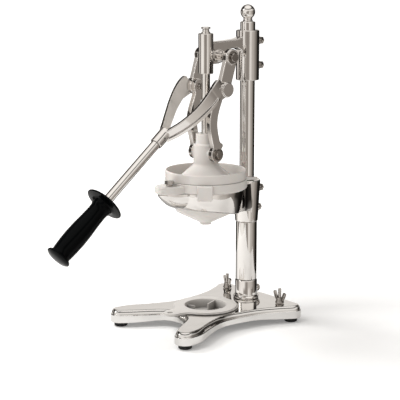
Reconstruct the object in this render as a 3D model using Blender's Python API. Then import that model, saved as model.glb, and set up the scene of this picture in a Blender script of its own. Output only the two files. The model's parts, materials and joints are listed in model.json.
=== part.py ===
# Hand-operated lever citrus press: cast base, rear post, adjustable bowl, pressing bell on a
# vertical plunger, and a toggle linkage worked by a wishbone lever.
# Shapes are drawn in millimetres, with the plunger axis on X = Y = 0 and the table at Z = 0.
# -Y is the front, where the handle is, and +Y the rear, where the post is. +X is the right.
# finish_node() turns a shape into a node in metres; the root empty shifts the press by
# SHIFT_Y, which puts the origin under its middle.
import math

import bmesh
import bpy
from mathutils import Matrix, Vector

# ---------------------------------------------------------------- driving dimensions (mm)
MM = 0.001                      # metres in a millimetre
SHIFT_Y = 77.3
GAP = 0.35                      # clearance between neighbouring parts

# Segments of round shapes.
LARGE_SIDES, MEDIUM_SIDES, SMALL_SIDES = 24, 16, 12

POST_Y = 83.0                   # post axis behind the plunger axis
POST_R = 11.25
POST_BORE_R = POST_R + GAP
POST_TOP = 452.0
BALL_R, BALL_Z = 11.0, 466.5
COLUMN_R = 16.2                 # lower column
COLUMN_Z0, COLUMN_Z1 = 56.4, 147.8

FOOT_X, FOOT_FRONT_Y, FOOT_REAR_Y = 75.5, -104.0, 107.0
FOOT_R, FOOT_H = 10.2, 6.8
LEG_R = 15.5                    # rounded tips of the base legs
BASE_Z0, BASE_EDGE, BASE_TOP = 7.3, 18.6, 26.0
BASE_FLOOR = 12.0               # bottom of the recesses in the base
STUD_X, STUD_Y = 60.0, 98.0
SEAT_Z = BASE_TOP + GAP         # underside of the parts that stand on the base

REST_R, REST_HOLE_R, REST_TOP = 49.2, 31.4, 29.4
TONGUE_Y, TONGUE_R = -66.5, 14.0

CUP_BOLT_Y, CUP_BOLT_R, CUP_BOLT_HOLE_R = -70.0, 2.9, 3.3

# Hexagon bolts behind the post: name -> (height, distance of the boss face from the post axis)
REAR_BOLTS = {
    "socket_bolt": (38, 19.0),
    "bowl_bolt_upper": (197, 25.2),
    "bowl_bolt_lower": (167, 21.0),
    "head_bolt_upper": (423, 23.0),
    "head_bolt_lower": (386, 23.0),
}

# Linkage pivots (y, z) and their bores
TOP_PIVOT, TOP_BORE_R = (20.5, 404.5), 5.3
KNEE_PIVOT, KNEE_BORE_R = (6.0, 358.8), 4.8
BELL_PIVOT, BELL_BORE_R = (0.0, 262.5), 4.3
LOW_X0, LOW_X1 = 18.7, 27.0     # lower link, inner and outer face
UP_X0, UP_X1 = 27.4, 35.4       # upper link
YOKE_X0, YOKE_X1 = 35.8, 41.8   # yoke at the knee

HEAD_Z0, HEAD_Z1, HEAD_R = 365.0, 439.6, 17.5
GUIDE_Z0, GUIDE_Z1, GUIDE_R = 379.6, 438.3, 11.0
BUSH_R, GUIDE_BORE_R = 7.55, 7.9
ROD_R, ROD_TOP = 6.4, 441.0
BELL_HUB_R = 18.3

HANDLE_ANGLE = math.radians(39.0)   # fall of the handle towards the front
SOCKET_END = Vector((0, -94.9, 284.6))  # front end of the yoke socket, on the handle axis
HANDLE_DIR = Vector((0, -math.cos(HANDLE_ANGLE), -math.sin(HANDLE_ANGLE)))
HANDLE_UP = Vector((0, -math.sin(HANDLE_ANGLE), math.cos(HANDLE_ANGLE)))
SET_SCREW_S = -13.0             # set screw along the handle axis

for old in list(bpy.data.objects):
    bpy.data.objects.remove(old, do_unlink=True)


# ---------------------------------------------------------------- mesh helpers
def default_sides(radius):
    """Segments of a round shape of this radius."""
    if radius >= 40:
        return LARGE_SIDES
    return MEDIUM_SIDES if radius >= 9 else SMALL_SIDES


def new_object(bm):
    bmesh.ops.recalc_face_normals(bm, faces=bm.faces)
    mesh = bpy.data.meshes.new("work")
    bm.to_mesh(mesh)
    bm.free()
    return link_object(mesh)


def link_object(mesh):
    ob = bpy.data.objects.new("work", mesh)
    bpy.context.scene.collection.objects.link(ob)
    return ob


def bridge(bm, loop_a, loop_b, closed=True):
    """Faces between two loops; shared or repeated vertices give triangles or nothing."""
    count = len(loop_a)
    for i in range(count if closed else count - 1):
        j = (i + 1) % count
        corners = list(dict.fromkeys([loop_a[i], loop_a[j], loop_b[j], loop_b[i]]))
        if len(corners) > 2:
            bm.faces.new(corners)


def frame_along(start, end):
    """Matrix whose Z runs from start to end, with its origin on start."""
    start, end = Vector(start), Vector(end)
    turn = (end - start).normalized().to_track_quat("Z", "Y")
    return Matrix.Translation(start) @ turn.to_matrix().to_4x4()


def lathe(profile, sides=None, matrix=None):
    """Turned solid about Z. The profile of (r, z) closes on itself or along the axis."""
    sides = sides or default_sides(max(r for r, z in profile))
    bm = bmesh.new()
    loops = []
    for r, z in profile:
        if r < 1e-6:
            loops.append([bm.verts.new((0, 0, z))] * sides)
        else:
            angles = [2 * math.pi * i / sides for i in range(sides)]
            loops.append([bm.verts.new((r * math.cos(a), r * math.sin(a), z)) for a in angles])
    for loop_a, loop_b in zip(loops, loops[1:] + loops[:1]):
        bridge(bm, loop_a, loop_b)
    if matrix is not None:
        bm.transform(matrix)
    return new_object(bm)


def bar(start, end, radius, sides=None, chamfer=0.0):
    """Round bar from start to end, with chamfered ends if asked."""
    length = (Vector(end) - Vector(start)).length
    profile = [(0, 0), (radius, 0), (radius, length), (0, length)]
    if chamfer:
        profile = [(0, 0), (radius - chamfer, 0), (radius, chamfer), (radius, length - chamfer),
                   (radius - chamfer, length), (0, length)]
    return lathe(profile, sides, frame_along(start, end))


def upright(x, y, z0, z1, radius, sides=None):
    """Vertical bar."""
    return bar((x, y, z0), (x, y, z1), radius, sides)


def crossbar(pivot, x0, x1, radius, chamfer=0.0):
    """Bar along X through a pivot (y, z)."""
    return bar((x0, *pivot), (x1, *pivot), radius, chamfer=chamfer)


def tube(start, end, outer, inner, sides=None, chamfer=0.0):
    length = (Vector(end) - Vector(start)).length
    profile = [(inner, 0), (outer, 0), (outer, length), (inner, length)]
    if chamfer:
        profile = [(inner, 0), (outer - chamfer, 0), (outer, chamfer), (outer, length - chamfer),
                   (outer - chamfer, length), (inner, length)]
    return lathe(profile, sides, frame_along(start, end))


def loft(rings):
    """Closed solid through rings of equal point counts."""
    bm = bmesh.new()
    loops = [[bm.verts.new(p) for p in ring] for ring in rings]
    for loop_a, loop_b in zip(loops, loops[1:]):
        bridge(bm, loop_a, loop_b)
    bm.faces.new(loops[0])
    bm.faces.new(loops[-1])
    bm.normal_update()
    bmesh.ops.triangulate(bm, faces=[f for f in bm.faces if len(f.verts) > 4])
    return new_object(bm)


def offset(outline, inset):
    """Moves each corner of a counter-clockwise outline inwards."""
    moved = []
    for i, point in enumerate(outline):
        before, here = Vector(outline[i - 1]), Vector(point)
        after = Vector(outline[(i + 1) % len(outline)])
        normal_in = Vector((-(here - before).y, (here - before).x)).normalized()
        normal_out = Vector((-(after - here).y, (after - here).x)).normalized()
        middle = (normal_in + normal_out).normalized()
        middle = middle / max(0.5, middle.dot(normal_in))
        moved.append(tuple(here + middle * inset))
    return moved


def prism(outline, low, high, axis="Z", chamfer=0.0):
    """Extrudes a counter-clockwise outline: (y, z) along X, (x, z) along Y, (x, y) along Z."""
    levels = [(low, 0.0), (high, 0.0)]
    if chamfer:
        levels = [(low, chamfer), (low + chamfer, 0.0), (high - chamfer, 0.0), (high, chamfer)]
    place = {"X": lambda u, v, h: (h, u, v),
             "Y": lambda u, v, h: (u, h, v),
             "Z": lambda u, v, h: (u, v, h)}[axis]
    rings = []
    for level, inset in levels:
        points = offset(outline, inset) if inset else outline
        rings.append([place(u, v, level) for u, v in points])
    return loft(rings)


def arc(cx, cy, radius, start, end, steps):
    """Points on an arc, angles in degrees, both ends included."""
    angles = [math.radians(start + (end - start) * i / steps) for i in range(steps + 1)]
    return [(cx + radius * math.cos(a), cy + radius * math.sin(a)) for a in angles]


def polygon(radius, sides, hexagon=False):
    """Points of a circle, or points of a hexagon's outline on the same rays."""
    points = []
    for i in range(sides):
        angle = 2 * math.pi * i / sides
        reach = radius
        if hexagon:
            reach *= math.cos(math.pi / 6) / math.cos(angle % (math.pi / 3) - math.pi / 6)
        points.append((reach * math.cos(angle), reach * math.sin(angle)))
    return points


def turned(ob, degrees):
    """Turns a shape about Z."""
    ob.data.transform(Matrix.Rotation(math.radians(degrees), 4, "Z"))
    return ob


def at_post():
    return Matrix.Translation((0, POST_Y, 0))


def along_x(pivot):
    """Frame whose Z runs along +X through a pivot (y, z)."""
    return Matrix.Translation((0, *pivot)) @ Matrix.Rotation(math.pi / 2, 4, "Y")


# ---------------------------------------------------------------- booleans and mirroring
def volume(mesh):
    """Signed volume, or None for a mesh with an open or a shared edge."""
    bm = bmesh.new()
    bm.from_mesh(mesh)
    closed = all(len(e.link_faces) == 2 for e in bm.edges)
    result = bm.calc_volume(signed=True) if closed else None
    bm.free()
    return result


def boolean(ob, other, operation):
    """Boolean with the EXACT solver, and with MANIFOLD where EXACT loses a piece."""
    meshes = []
    for solver in ("EXACT", "MANIFOLD"):
        modifier = ob.modifiers.new("b", "BOOLEAN")
        modifier.operation = operation
        modifier.solver = solver
        modifier.object = other
        graph = bpy.context.evaluated_depsgraph_get()
        meshes.append(bpy.data.meshes.new_from_object(ob.evaluated_get(graph)))
        ob.modifiers.clear()
    exact, manifold = meshes
    v_exact, v_manifold = volume(exact), volume(manifold)
    agree = (v_exact is not None
             and abs(v_exact - v_manifold) < 0.0005 * abs(v_manifold) + 0.5)
    ob.data = exact if agree else manifold
    bpy.data.objects.remove(other, do_unlink=True)


def union(ob, *others):
    for other in others:
        boolean(ob, other, "UNION")
    return ob


def cut(ob, *others):
    for other in others:
        boolean(ob, other, "DIFFERENCE")
    return ob


def mirror_copy(ob):
    """Copy mirrored in X."""
    mesh = ob.data.copy()
    mesh.transform(Matrix.Scale(-1, 4, (1, 0, 0)))
    mesh.flip_normals()
    return link_object(mesh)


# ---------------------------------------------------------------- materials and nodes
def material(name, color, roughness, metallic):
    mat = bpy.data.materials.new(name)
    mat.use_nodes = True
    inputs = mat.node_tree.nodes["Principled BSDF"].inputs
    inputs["Base Color"].default_value = (*color, 1)
    inputs["Roughness"].default_value = roughness
    inputs["Metallic"].default_value = metallic
    return mat


CHROME = material("chrome", color=(0.78, 0.76, 0.73), roughness=0.08, metallic=1)
ALUMINIUM = material("polished_aluminium", color=(0.82, 0.81, 0.79), roughness=0.12, metallic=1)
WHITE = material("white_plastic", color=(0.86, 0.83, 0.79), roughness=0.4, metallic=0)
GREY = material("grey_plastic", color=(0.66, 0.64, 0.61), roughness=0.5, metallic=0)
BLACK = material("black_grip", color=(0.015, 0.016, 0.016), roughness=0.45, metallic=0)
RUBBER = material("black_rubber", color=(0.012, 0.012, 0.012), roughness=0.75, metallic=0)
STEEL = material("fastener_steel", color=(0.45, 0.43, 0.4), roughness=0.3, metallic=1)
BRONZE = material("bronze_bush", color=(0.55, 0.38, 0.18), roughness=0.35, metallic=1)

AXES = {}                       # empty's name -> its place in millimetres


def axis_empty(name, at, parent=None):
    node = bpy.data.objects.new(name, None)
    bpy.context.scene.collection.objects.link(node)
    node.parent = parent
    AXES[name] = Vector(at)
    if parent:
        node.location = (AXES[name] - AXES[parent.name]) * MM
    else:
        node.location = (0, SHIFT_Y * MM, 0)
    return node


ROOT = axis_empty("press", (0, 0, 0))
PLUNGER = axis_empty("plunger_axis", (0, 0, 0), ROOT)
LEVER = axis_empty("lever_axis", (0, *TOP_PIVOT), ROOT)
LOWER = axis_empty("lower_link_axis", (0, *BELL_PIVOT), PLUNGER)
NUT_LEFT = axis_empty("wing_nut_left_axis", (-STUD_X, STUD_Y, BASE_TOP), ROOT)
NUT_RIGHT = axis_empty("wing_nut_right_axis", (STUD_X, STUD_Y, BASE_TOP), ROOT)


def finish_node(ob, name, mat, parent=ROOT):
    """Names the shape, moves its origin to its parent's axis and shades it."""
    ob.data.transform(Matrix.Scale(MM, 4) @ Matrix.Translation(-AXES[parent.name]))
    ob.name = name
    ob.data.name = name
    ob.parent = parent
    ob.data.materials.clear()
    ob.data.materials.append(mat)
    ob.data.shade_smooth()
    ob.data.set_sharp_from_angle(angle=math.radians(32))


def mirrored_pair(ob, stem, mat, parent):
    """The shape on the +X side and its mirror image on the -X side."""
    left = mirror_copy(ob)
    finish_node(ob, stem + "_right", mat, parent)
    finish_node(left, stem + "_left", mat, parent)


# ---------------------------------------------------------------- base
# Skirt of the base on the +X side, (x, y): front notch out to the leg, side, rear edge
BASE_NOTCH = [(0.0, -53.0), (16.0, -55.5), (29.0, -64.0), (41.0, -80.5), (51.5, -97.0),
              (62.36, -112.2)]
BASE_SIDE = [(91.0, -104), (87.6, -83), (72.5, -51), (61.5, -22), (59.6, 0), (61.2, 18),
             (68.0, 55), (81.5, 87), (89.4, 100.2)]
BASE_REAR = [(40.0, 123.6), (14.0, 124.4)]

# Levels of the base: (inset from the skirt, height); None follows the arched lower edge.
BASE_LEVELS = [(7.0, 19.0), (7.0, None), (0.0, None), (0.0, BASE_EDGE), (1.6, BASE_EDGE + 2.4),
               (4.6, BASE_TOP)]


def base_outline():
    """Skirt outline of the X-shaped base, counter-clockwise, symmetric in X."""
    front_tip = arc(FOOT_X, FOOT_FRONT_Y, LEG_R, 212, 360, 4)[1:-1]
    rear_tip = arc(FOOT_X, FOOT_REAR_Y, LEG_R, -26, 90, 3)[1:]
    right = BASE_NOTCH + front_tip + BASE_SIDE + rear_tip + BASE_REAR
    return right + [(-x, y) for x, y in reversed(right) if x > 0]


def underside_z(x, y):
    """Height of the arched underside: low at the feet, higher between them."""
    distance = min(math.hypot(abs(x) - FOOT_X, y - fy) for fy in (FOOT_FRONT_Y, FOOT_REAR_Y))
    t = min(1.0, max(0.0, (distance - 14.0) / 60.0))
    return BASE_Z0 + 3.2 * t * t * (3 - 2 * t)


def make_base():
    outline = base_outline()
    rings = []
    for inset, level in BASE_LEVELS:
        points = offset(outline, inset) if inset else outline
        rings.append([(x, y, underside_z(*edge) if level is None else level)
                      for (x, y), edge in zip(points, outline)])
    body = loft(rings)

    # Bosses under the top: at the feet, the post and the glass rest.
    boss_top = 21
    for side in (-1, 1):
        for y in (FOOT_FRONT_Y, FOOT_REAR_Y):
            union(body, upright(side * FOOT_X, y, 7.15, boss_top, LEG_R - 3.2))
    union(body, upright(0, POST_Y, 10.5, boss_top, 20), upright(0, 0, 10.5, boss_top, 38))

    cut(body, upright(0, 0, BASE_FLOOR, 30, 33.9),
        upright(0, POST_Y, BASE_FLOOR, 30, POST_BORE_R))
    for side in (-1, 1):
        cut(body, upright(side * STUD_X, STUD_Y, 10.0, 30, 2.9))
        for y in (FOOT_FRONT_Y, FOOT_REAR_Y):
            cut(body, upright(side * FOOT_X, y, 0, 17.8, 2.6))
    cut(body, upright(0, 0, 0, 13, 3.0))
    finish_node(body, "base_casting", ALUMINIUM)


def make_feet():
    """Rubber feet with a recessed screw each, numbered right before left, front to rear."""
    pad = [(5.2, 0), (FOOT_R - 1.6, 0), (FOOT_R - 0.5, 0.8), (FOOT_R, FOOT_H - 1.0),
           (FOOT_R - 0.6, FOOT_H), (2.7, FOOT_H), (2.7, 3.4), (5.2, 3.4)]
    screw = [(0, 0.9), (4.0, 0.9), (4.6, 1.6), (4.6, 3.1), (2.3, 3.1), (2.3, 16.5), (0, 16.5)]
    places = [(side * FOOT_X, y) for y in (FOOT_FRONT_Y, FOOT_REAR_Y) for side in (1, -1)]
    for i, (x, y) in enumerate(places, 1):
        place = Matrix.Translation((x, y, 0))
        finish_node(lathe(pad, matrix=place), "rubber_foot_%d" % i, RUBBER)
        finish_node(lathe(screw, matrix=place), "foot_screw_%d" % i, STEEL)


# ---------------------------------------------------------------- glass rest
# Concave neck between the circle and the tongue on the +X side, (x, y)
REST_NECK = [(24.6, -43.2), (19.6, -46.8), (16.2, -51.2), (14.4, -57.5)]

# Upright fins inside the recess: (direction in degrees, inner radius, top)
REST_FINS = [(113, 8.0, 28.2), (203, 18.0, 25.0), (293, 20.0, 25.0), (23, 22.0, 26.2)]


def make_glass_rest():
    outline = (arc(0, 0, REST_R, -52, 232, 34) + [(-x, y) for x, y in REST_NECK]
               + arc(0, TONGUE_Y, TONGUE_R, 180, 360, 10) + REST_NECK[::-1])
    rest = prism(outline, SEAT_Z, 28.3, chamfer=0.5)
    union(rest, prism(offset(outline, 1.7), 27.6, REST_TOP, chamfer=0.5))
    union(rest, upright(0, 0, 14.2, 27.5, 33.4))

    recess = lathe([(0, 16.0), (REST_HOLE_R - 1.0, 16.0), (REST_HOLE_R - 0.6, 26.0),
                    (REST_HOLE_R + 0.2, 28.4), (REST_HOLE_R + 1.2, 31), (0, 31)])
    tongue_recess = upright(0, -69.5, 28.2, 31, 4.2, MEDIUM_SIDES)
    cut(rest, recess, tongue_recess)

    half, outer = 0.9, REST_HOLE_R + 0.8
    for degrees, inner, top in REST_FINS:
        fin = prism([(inner, -half), (outer, -half), (outer, half), (inner, half)], 15.0, top)
        union(rest, turned(fin, degrees))
    finish_node(rest, "glass_rest_ring", GREY)


# ---------------------------------------------------------------- bolts behind the post
def make_rear_bolt(name):
    """Hexagon set bolt screwed towards the post from behind, with its washer face."""
    z, face = REAR_BOLTS[name]
    y0 = POST_Y + face + GAP
    across_flats, head = 10.0, 5.2
    washer_r, corner_r = across_flats * 0.56, across_flats / math.sqrt(3)
    stations = [(2.9, POST_Y + POST_R + 0.8), (2.9, y0), (washer_r, y0), (washer_r, y0 + 1.0),
                (corner_r * 0.97, y0 + 1.0), (corner_r, y0 + 1.3), (corner_r, y0 + 0.4 + head),
                (corner_r - 1.2, y0 + 1.0 + head)]
    bolt = loft([[(u, y, z + v) for u, v in polygon(radius, 6)] for radius, y in stations])
    finish_node(bolt, name, STEEL)


def bolt_hole(name):
    z = REAR_BOLTS[name][0]
    return bar((0, POST_Y + 4, z), (0, 130.0, z), 3.25)


def rear_boss(name, start, radius, face=None, sides=None):
    """Round boss behind the post; start and face are distances from the post axis."""
    z, bolt_face = REAR_BOLTS[name]
    return bar((0, POST_Y + start, z), (0, POST_Y + (face or bolt_face), z), radius, sides)


# ---------------------------------------------------------------- column and post
def make_column():
    """Socket that clamps the column to the base, and the lower column."""
    socket = lathe([(POST_BORE_R, SEAT_Z), (18.9, SEAT_Z), (19.6, 27.2), (19.6, 29.6),
                    (18.7, 30.8), (17.3, 31.4), (17.0, 33.0), (17.0, 54.6), (16.2, 56.0),
                    (POST_BORE_R, 56.0)], matrix=at_post())
    union(socket, rear_boss("socket_bolt", 13.5, 7.2))
    cut(socket, bolt_hole("socket_bolt"))
    finish_node(socket, "column_socket", CHROME)

    column = tube((0, POST_Y, COLUMN_Z0), (0, POST_Y, COLUMN_Z1), COLUMN_R, POST_BORE_R,
                  chamfer=0.6)
    finish_node(column, "lower_column", CHROME)


def make_post():
    """Post with a blind hole in its top."""
    bottom, bore_r, bore_z = 12.4, 4.3, 440
    post = lathe([(0, bottom), (POST_R - 0.6, bottom), (POST_R, 13.0), (POST_R, POST_TOP - 0.8),
                  (POST_R - 0.8, POST_TOP), (bore_r, POST_TOP), (bore_r, bore_z), (0, bore_z)],
                 matrix=at_post())
    finish_node(post, "post", CHROME)


def make_ball_finial():
    """Ball on a collar, with a spigot in the hole of the post."""
    spigot_r, spigot_z = 3.95, 440.4
    profile = [(0, spigot_z), (spigot_r, spigot_z), (spigot_r, POST_TOP + GAP),
               (7.7, POST_TOP + GAP), (7.7, POST_TOP + 1.4), (6.7, POST_TOP + 2.4),
               (6.6, POST_TOP + 5.2)]
    start, steps = math.asin(6.9 / BALL_R), 7
    for i in range(steps):
        angle = start + (math.pi - start) * i / steps
        profile.append((BALL_R * math.sin(angle), BALL_Z - BALL_R * math.cos(angle)))
    profile.append((0, BALL_Z + BALL_R))
    finish_node(lathe(profile, matrix=at_post()), "ball_finial", CHROME)


# ---------------------------------------------------------------- bowl holder
# Ring section, (r, z)
HOLDER_PROFILE = [(54.3, 210.0), (56.6, 210.0), (57.4, 208.6), (57.2, 205.0), (55.6, 196.5),
                  (53.0, 188.0), (50.6, 182.8), (49.2, 182.0), (47.3, 182.6), (49.9, 188.0),
                  (52.5, 196.5), (54.0, 205.0)]
# Lift of the ring's lower edge, (y, dz): it falls from the front towards the post.
HOLDER_EDGE = [(-60.0, 3.2), (-40.0, 1.8), (-20.0, -0.3), (0.0, -4.0), (15.0, -7.5),
               (32.0, -10.0), (60.0, -12.0)]
# Sleeve round the post, (r, z)
HOLDER_SLEEVE = [(0, 148.2), (16.6, 148.2), (17.3, 149.0), (18.2, 162.0), (19.6, 190.0),
                 (21.0, 211.6), (20.2, 212.8), (0, 212.8)]
# Rear arm: (y, half width, height of the lower side edge, half width of the bottom, bottom)
HOLDER_ARM = [
    (36.0, 41.5, 179.0, 34.5, 172.6), (46.0, 33.5, 177.0, 28.5, 171.0),
    (53.0, 28.3, 176.0, 24.5, 170.0), (60.0, 24.0, 175.0, 20.5, 169.0),
    (68.0, 20.5, 173.5, 17.5, 167.5), (80.0, 17.6, 171.0, 15.0, 165.5),
]
ARM_TOP = 209.4
# Front keel: (y, half width, bottom)
HOLDER_KEEL = [(-41.0, 34.0, 184.6), (-48.0, 27.0, 184.8), (-56.0, 21.5, 185.6),
               (-64.0, 18.0, 187.6), (-72.0, 15.0, 191.4), (-80.0, 11.6, 197.8),
               (-86.0, 7.4, 204.0), (-88.6, 3.0, 207.8)]
KEEL_TOP, KEEL_STEPS = 209.6, 8
# Hollow inside the ring, (r, z)
HOLDER_HOLLOW = [(0, 160.0), (47.0, 160.0), (47.0, 182.4), (49.6, 188.0), (52.2, 196.5),
                 (53.7, 205.0), (54.0, 214.0), (0, 214.0)]


def slope_lower_edge(ob):
    """Shifts the lower part of the ring by HOLDER_EDGE, fading out upwards."""
    for vertex in ob.data.vertices:
        share = min(1.0, max(0.0, (196.5 - vertex.co.z) / 14.0))
        for (y0, dz0), (y1, dz1) in zip(HOLDER_EDGE, HOLDER_EDGE[1:]):
            if vertex.co.y <= y1:
                vertex.co.z += share * (dz0 + (dz1 - dz0) * (vertex.co.y - y0) / (y1 - y0))
                break


def make_keel():
    """Boat-shaped fairing that carries the bolt of the cup."""
    angles = [math.pi * (1 + i / KEEL_STEPS) for i in range(KEEL_STEPS + 1)]
    return loft([[(half * math.cos(a), y, KEEL_TOP + (KEEL_TOP - bottom) * math.sin(a))
                  for a in angles] for y, half, bottom in HOLDER_KEEL])


def make_bowl_holder():
    holder = lathe(HOLDER_PROFILE)
    slope_lower_edge(holder)
    arm = loft([[(-half, y, edge), (-half_low, y, bottom), (half_low, y, bottom),
                 (half, y, edge), (half, y, ARM_TOP), (-half, y, ARM_TOP)]
                for y, half, edge, half_low, bottom in HOLDER_ARM])
    union(holder, arm, make_keel(), lathe(HOLDER_SLEEVE, matrix=at_post()))
    union(holder, rear_boss("bowl_bolt_upper", 12, 7.2, face=22.0),
          rear_boss("bowl_bolt_lower", 12, 7.2),
          rear_boss("bowl_bolt_upper", 14, 5.0, sides=MEDIUM_SIDES))
    cut(holder, lathe(HOLDER_HOLLOW), upright(0, POST_Y, 140, 220, POST_BORE_R),
        bolt_hole("bowl_bolt_upper"), bolt_hole("bowl_bolt_lower"),
        upright(0, CUP_BOLT_Y, 193.5, 214, CUP_BOLT_HOLE_R))
    finish_node(holder, "bowl_holder", CHROME)


# ---------------------------------------------------------------- funnel cup
# Outside and hollow, (r, z)
CUP_OUTSIDE = [(0, 154.6), (8.1, 154.6), (8.4, 157.2), (43.0, 174.6), (45.9, 178.6),
               (46.6, 182.2), (49.2, 188.0), (51.8, 196.5), (53.3, 205.0), (53.6, 210.35),
               (60.4, 210.35), (61.5, 211.6), (61.5, 222.9), (60.9, 223.7), (0, 223.7)]
CUP_HOLLOW = [(0, 150.0), (5.9, 150.0), (5.9, 157.5), (10.0, 160.2), (40.0, 176.0),
              (43.2, 180.0), (46.4, 188.0), (48.8, 196.5), (50.3, 205.0), (50.5, 212.6),
              (59.4, 214.5), (59.4, 230.0), (0, 230.0)]
CUP_LUG_R = 20.8
# Tab on the rim: (z, half width inside, half width outside, pull-back of the outer face)
CUP_TAB = [(201.0, 9.8, 9.3, 1.6), (202.5, 11.2, 10.6, 0.0), (222.0, 11.7, 11.2, 0.0),
           (223.4, 11.2, 10.6, 1.2)]
CUP_TAB_R0, CUP_TAB_R1 = 59.5, 66.5
# Rear fork with a prong on each side of the post, (x, y)
CUP_FORK = [(-15.0, 57.0), (15.0, 57.0), (15.0, 70.0), (19.0, 88.0), (15.5, 90.5), (12.6, 83.0),
            (11.9, 77.0), (8.5, 74.0), (4.0, 71.6), (-4.0, 71.6), (-8.5, 74.0), (-11.9, 77.0),
            (-12.6, 83.0), (-15.5, 90.5), (-19.0, 88.0), (-15.0, 70.0)]


def make_funnel_cup():
    cup = lathe(CUP_OUTSIDE)
    lug = prism(arc(0, CUP_BOLT_Y, CUP_LUG_R, 180, 360, 16)
                + [(CUP_LUG_R, -52.5), (-CUP_LUG_R, -52.5)], 210.4, 220.6, chamfer=0.8)
    tab = loft([[(CUP_TAB_R0, -inside, z), (CUP_TAB_R1 - back, -outside, z),
                 (CUP_TAB_R1 - back, outside, z), (CUP_TAB_R0, inside, z)]
                for z, inside, outside, back in CUP_TAB])
    fork = prism(CUP_FORK, 213.6, 218.2, chamfer=0.8)
    # The tab points to the front right, 48 degrees round from the lug.
    union(cup, union(lug, fork, turned(tab, -90 + 48)))
    cut(cup, lathe(CUP_HOLLOW), upright(0, POST_Y, 190, 240, POST_R + 0.6),
        upright(0, CUP_BOLT_Y, 200, 230, CUP_BOLT_HOLE_R))
    finish_node(cup, "funnel_cup", WHITE)


def make_cup_bolt():
    """Hexagon bolt with a collar under its head."""
    head_z, head_height, edge = 223.4, 5.0, 0.8
    corner_r = 12.2 / math.sqrt(3)
    bolt = lathe([(0, 0), (corner_r, 0), (corner_r, head_height - edge),
                  (corner_r - 1.3 * edge, head_height), (0, head_height)], 6,
                 frame_along((0, CUP_BOLT_Y, head_z), (0, CUP_BOLT_Y, head_z + head_height)))
    union(bolt, upright(0, CUP_BOLT_Y, 221.0, 224.6, 5.0),
          upright(0, CUP_BOLT_Y, 194.5, 222, CUP_BOLT_R))
    finish_node(bolt, "cup_bolt", STEEL)


# ---------------------------------------------------------------- strainer basket
# Rim and floor between the outer and the inner face of the dome, (r, z)
BASKET_RIM = [(33.0, 208.6), (47.2, 207.8), (48.6, 215.2), (56.4, 216.6), (58.0, 236.8),
              (59.0, 238.0), (60.2, 236.6), (60.1, 224.3), (59.0, 224.1), (59.0, 215.2),
              (50.0, 213.4), (49.3, 206.2), (33.0, 206.4), (29.0, 207.4)]
BASKET_SLOTS = 6


def dome_arc(radius, z, height, angles):
    """Quarter ellipse of the reamer dome, rising towards the axis."""
    return [(radius * math.cos(math.radians(a)), z + height * math.sin(math.radians(a)))
            for a in angles]


def make_strainer_basket():
    """Basket with a reamer dome and radial slots in its floor."""
    basket = lathe([(0, 232.0)] + dome_arc(30.0, 210.0, 22.0, (60, 30, 0)) + BASKET_RIM
                   + dome_arc(27.6, 208.0, 21.0, (30, 60)) + [(0, 229.0)])
    for k in range(BASKET_SLOTS):
        slot = prism([(35.5, -1.1), (46.5, -1.1), (46.5, 1.1), (35.5, 1.1)], 200, 212)
        cut(basket, turned(slot, 360 / BASKET_SLOTS * (k + 0.5)))
    finish_node(basket, "strainer_basket", WHITE)


# ---------------------------------------------------------------- plunger
# Outside and hollow of the bell, (r, z)
BELL_OUTSIDE = [(0, 291.6), (13.9, 291.6), (14.8, 290.6), (14.8, 277.4), (15.6, 276.4),
                (17.6, 275.8), (BELL_HUB_R, 274.8), (BELL_HUB_R, 248.0), (18.6, 246.0),
                (20.0, 243.8), (36.8, 229.0), (45.2, 222.2), (46.7, 219.8), (46.4, 218.4),
                (0, 218.4)]
BELL_HOLLOW = [(0, 300.0), (ROD_R + GAP, 300.0), (ROD_R + GAP, 240.0), (20.0, 238.0),
               (34.6, 226.2), (44.0, 219.0), (44.4, 210.0), (0, 210.0)]
# Stop button on the rod, (r, z)
BUTTON = [(0, 443.95), (4.9, 443.95), (4.9, 444.7), (6.3, 444.9), (6.9, 445.4), (6.9, 446.8),
          (6.3, 447.4), (0, 447.4)]


def bell_pivot_bore():
    return crossbar(BELL_PIVOT, -20, 20, BELL_BORE_R)


def make_plunger():
    bell = lathe(BELL_OUTSIDE)
    union(bell, crossbar(BELL_PIVOT, -BELL_HUB_R, BELL_HUB_R, 11.0, chamfer=0.6))
    cut(bell, lathe(BELL_HOLLOW), bell_pivot_bore())
    finish_node(bell, "press_bell", WHITE, PLUNGER)

    rod = lathe([(0, 254.0), (ROD_R - 0.5, 254.0), (ROD_R, 254.6), (ROD_R, ROD_TOP - 0.4),
                 (5.0, ROD_TOP), (5.0, 443.6), (0, 443.6)], MEDIUM_SIDES)
    cut(rod, bell_pivot_bore())
    finish_node(rod, "plunger_rod", CHROME, PLUNGER)
    finish_node(lathe(BUTTON, MEDIUM_SIDES), "stop_button", CHROME, PLUNGER)


# ---------------------------------------------------------------- head
# Beam between guide and post clamp, (y, z)
HEAD_BEAM = [(4.0, 393.0), (20.0, 393.5), (27.0, 396.0), (31.5, 401.0), (36.0, 409.5),
             (44.0, 414.2), (56.0, 414.8), (64.0, 411.0), (69.0, 401.0), (72.0, 388.0),
             (76.0, 380.0), (76.0, 431.0), (66.0, 430.0), (56.0, 427.6), (30.0, 426.0),
             (4.0, 425.5)]
# One half of the cross barrel round the top pivot, (x, r) from its end inwards
HEAD_BARREL = [(27.0, 8.4), (26.4, 9.0), (24.0, 8.4), (20.5, 7.2), (16.5, 7.4), (12.0, 8.6),
               (8.0, 9.8)]


def chamfered_cylinder(radius, z0, z1, chamfer, matrix=None):
    """Upright cylinder set out directly about Z."""
    return lathe([(0, z0), (radius - chamfer, z0), (radius, z0 + chamfer),
                  (radius, z1 - chamfer), (radius - chamfer, z1), (0, z1)], matrix=matrix)


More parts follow.
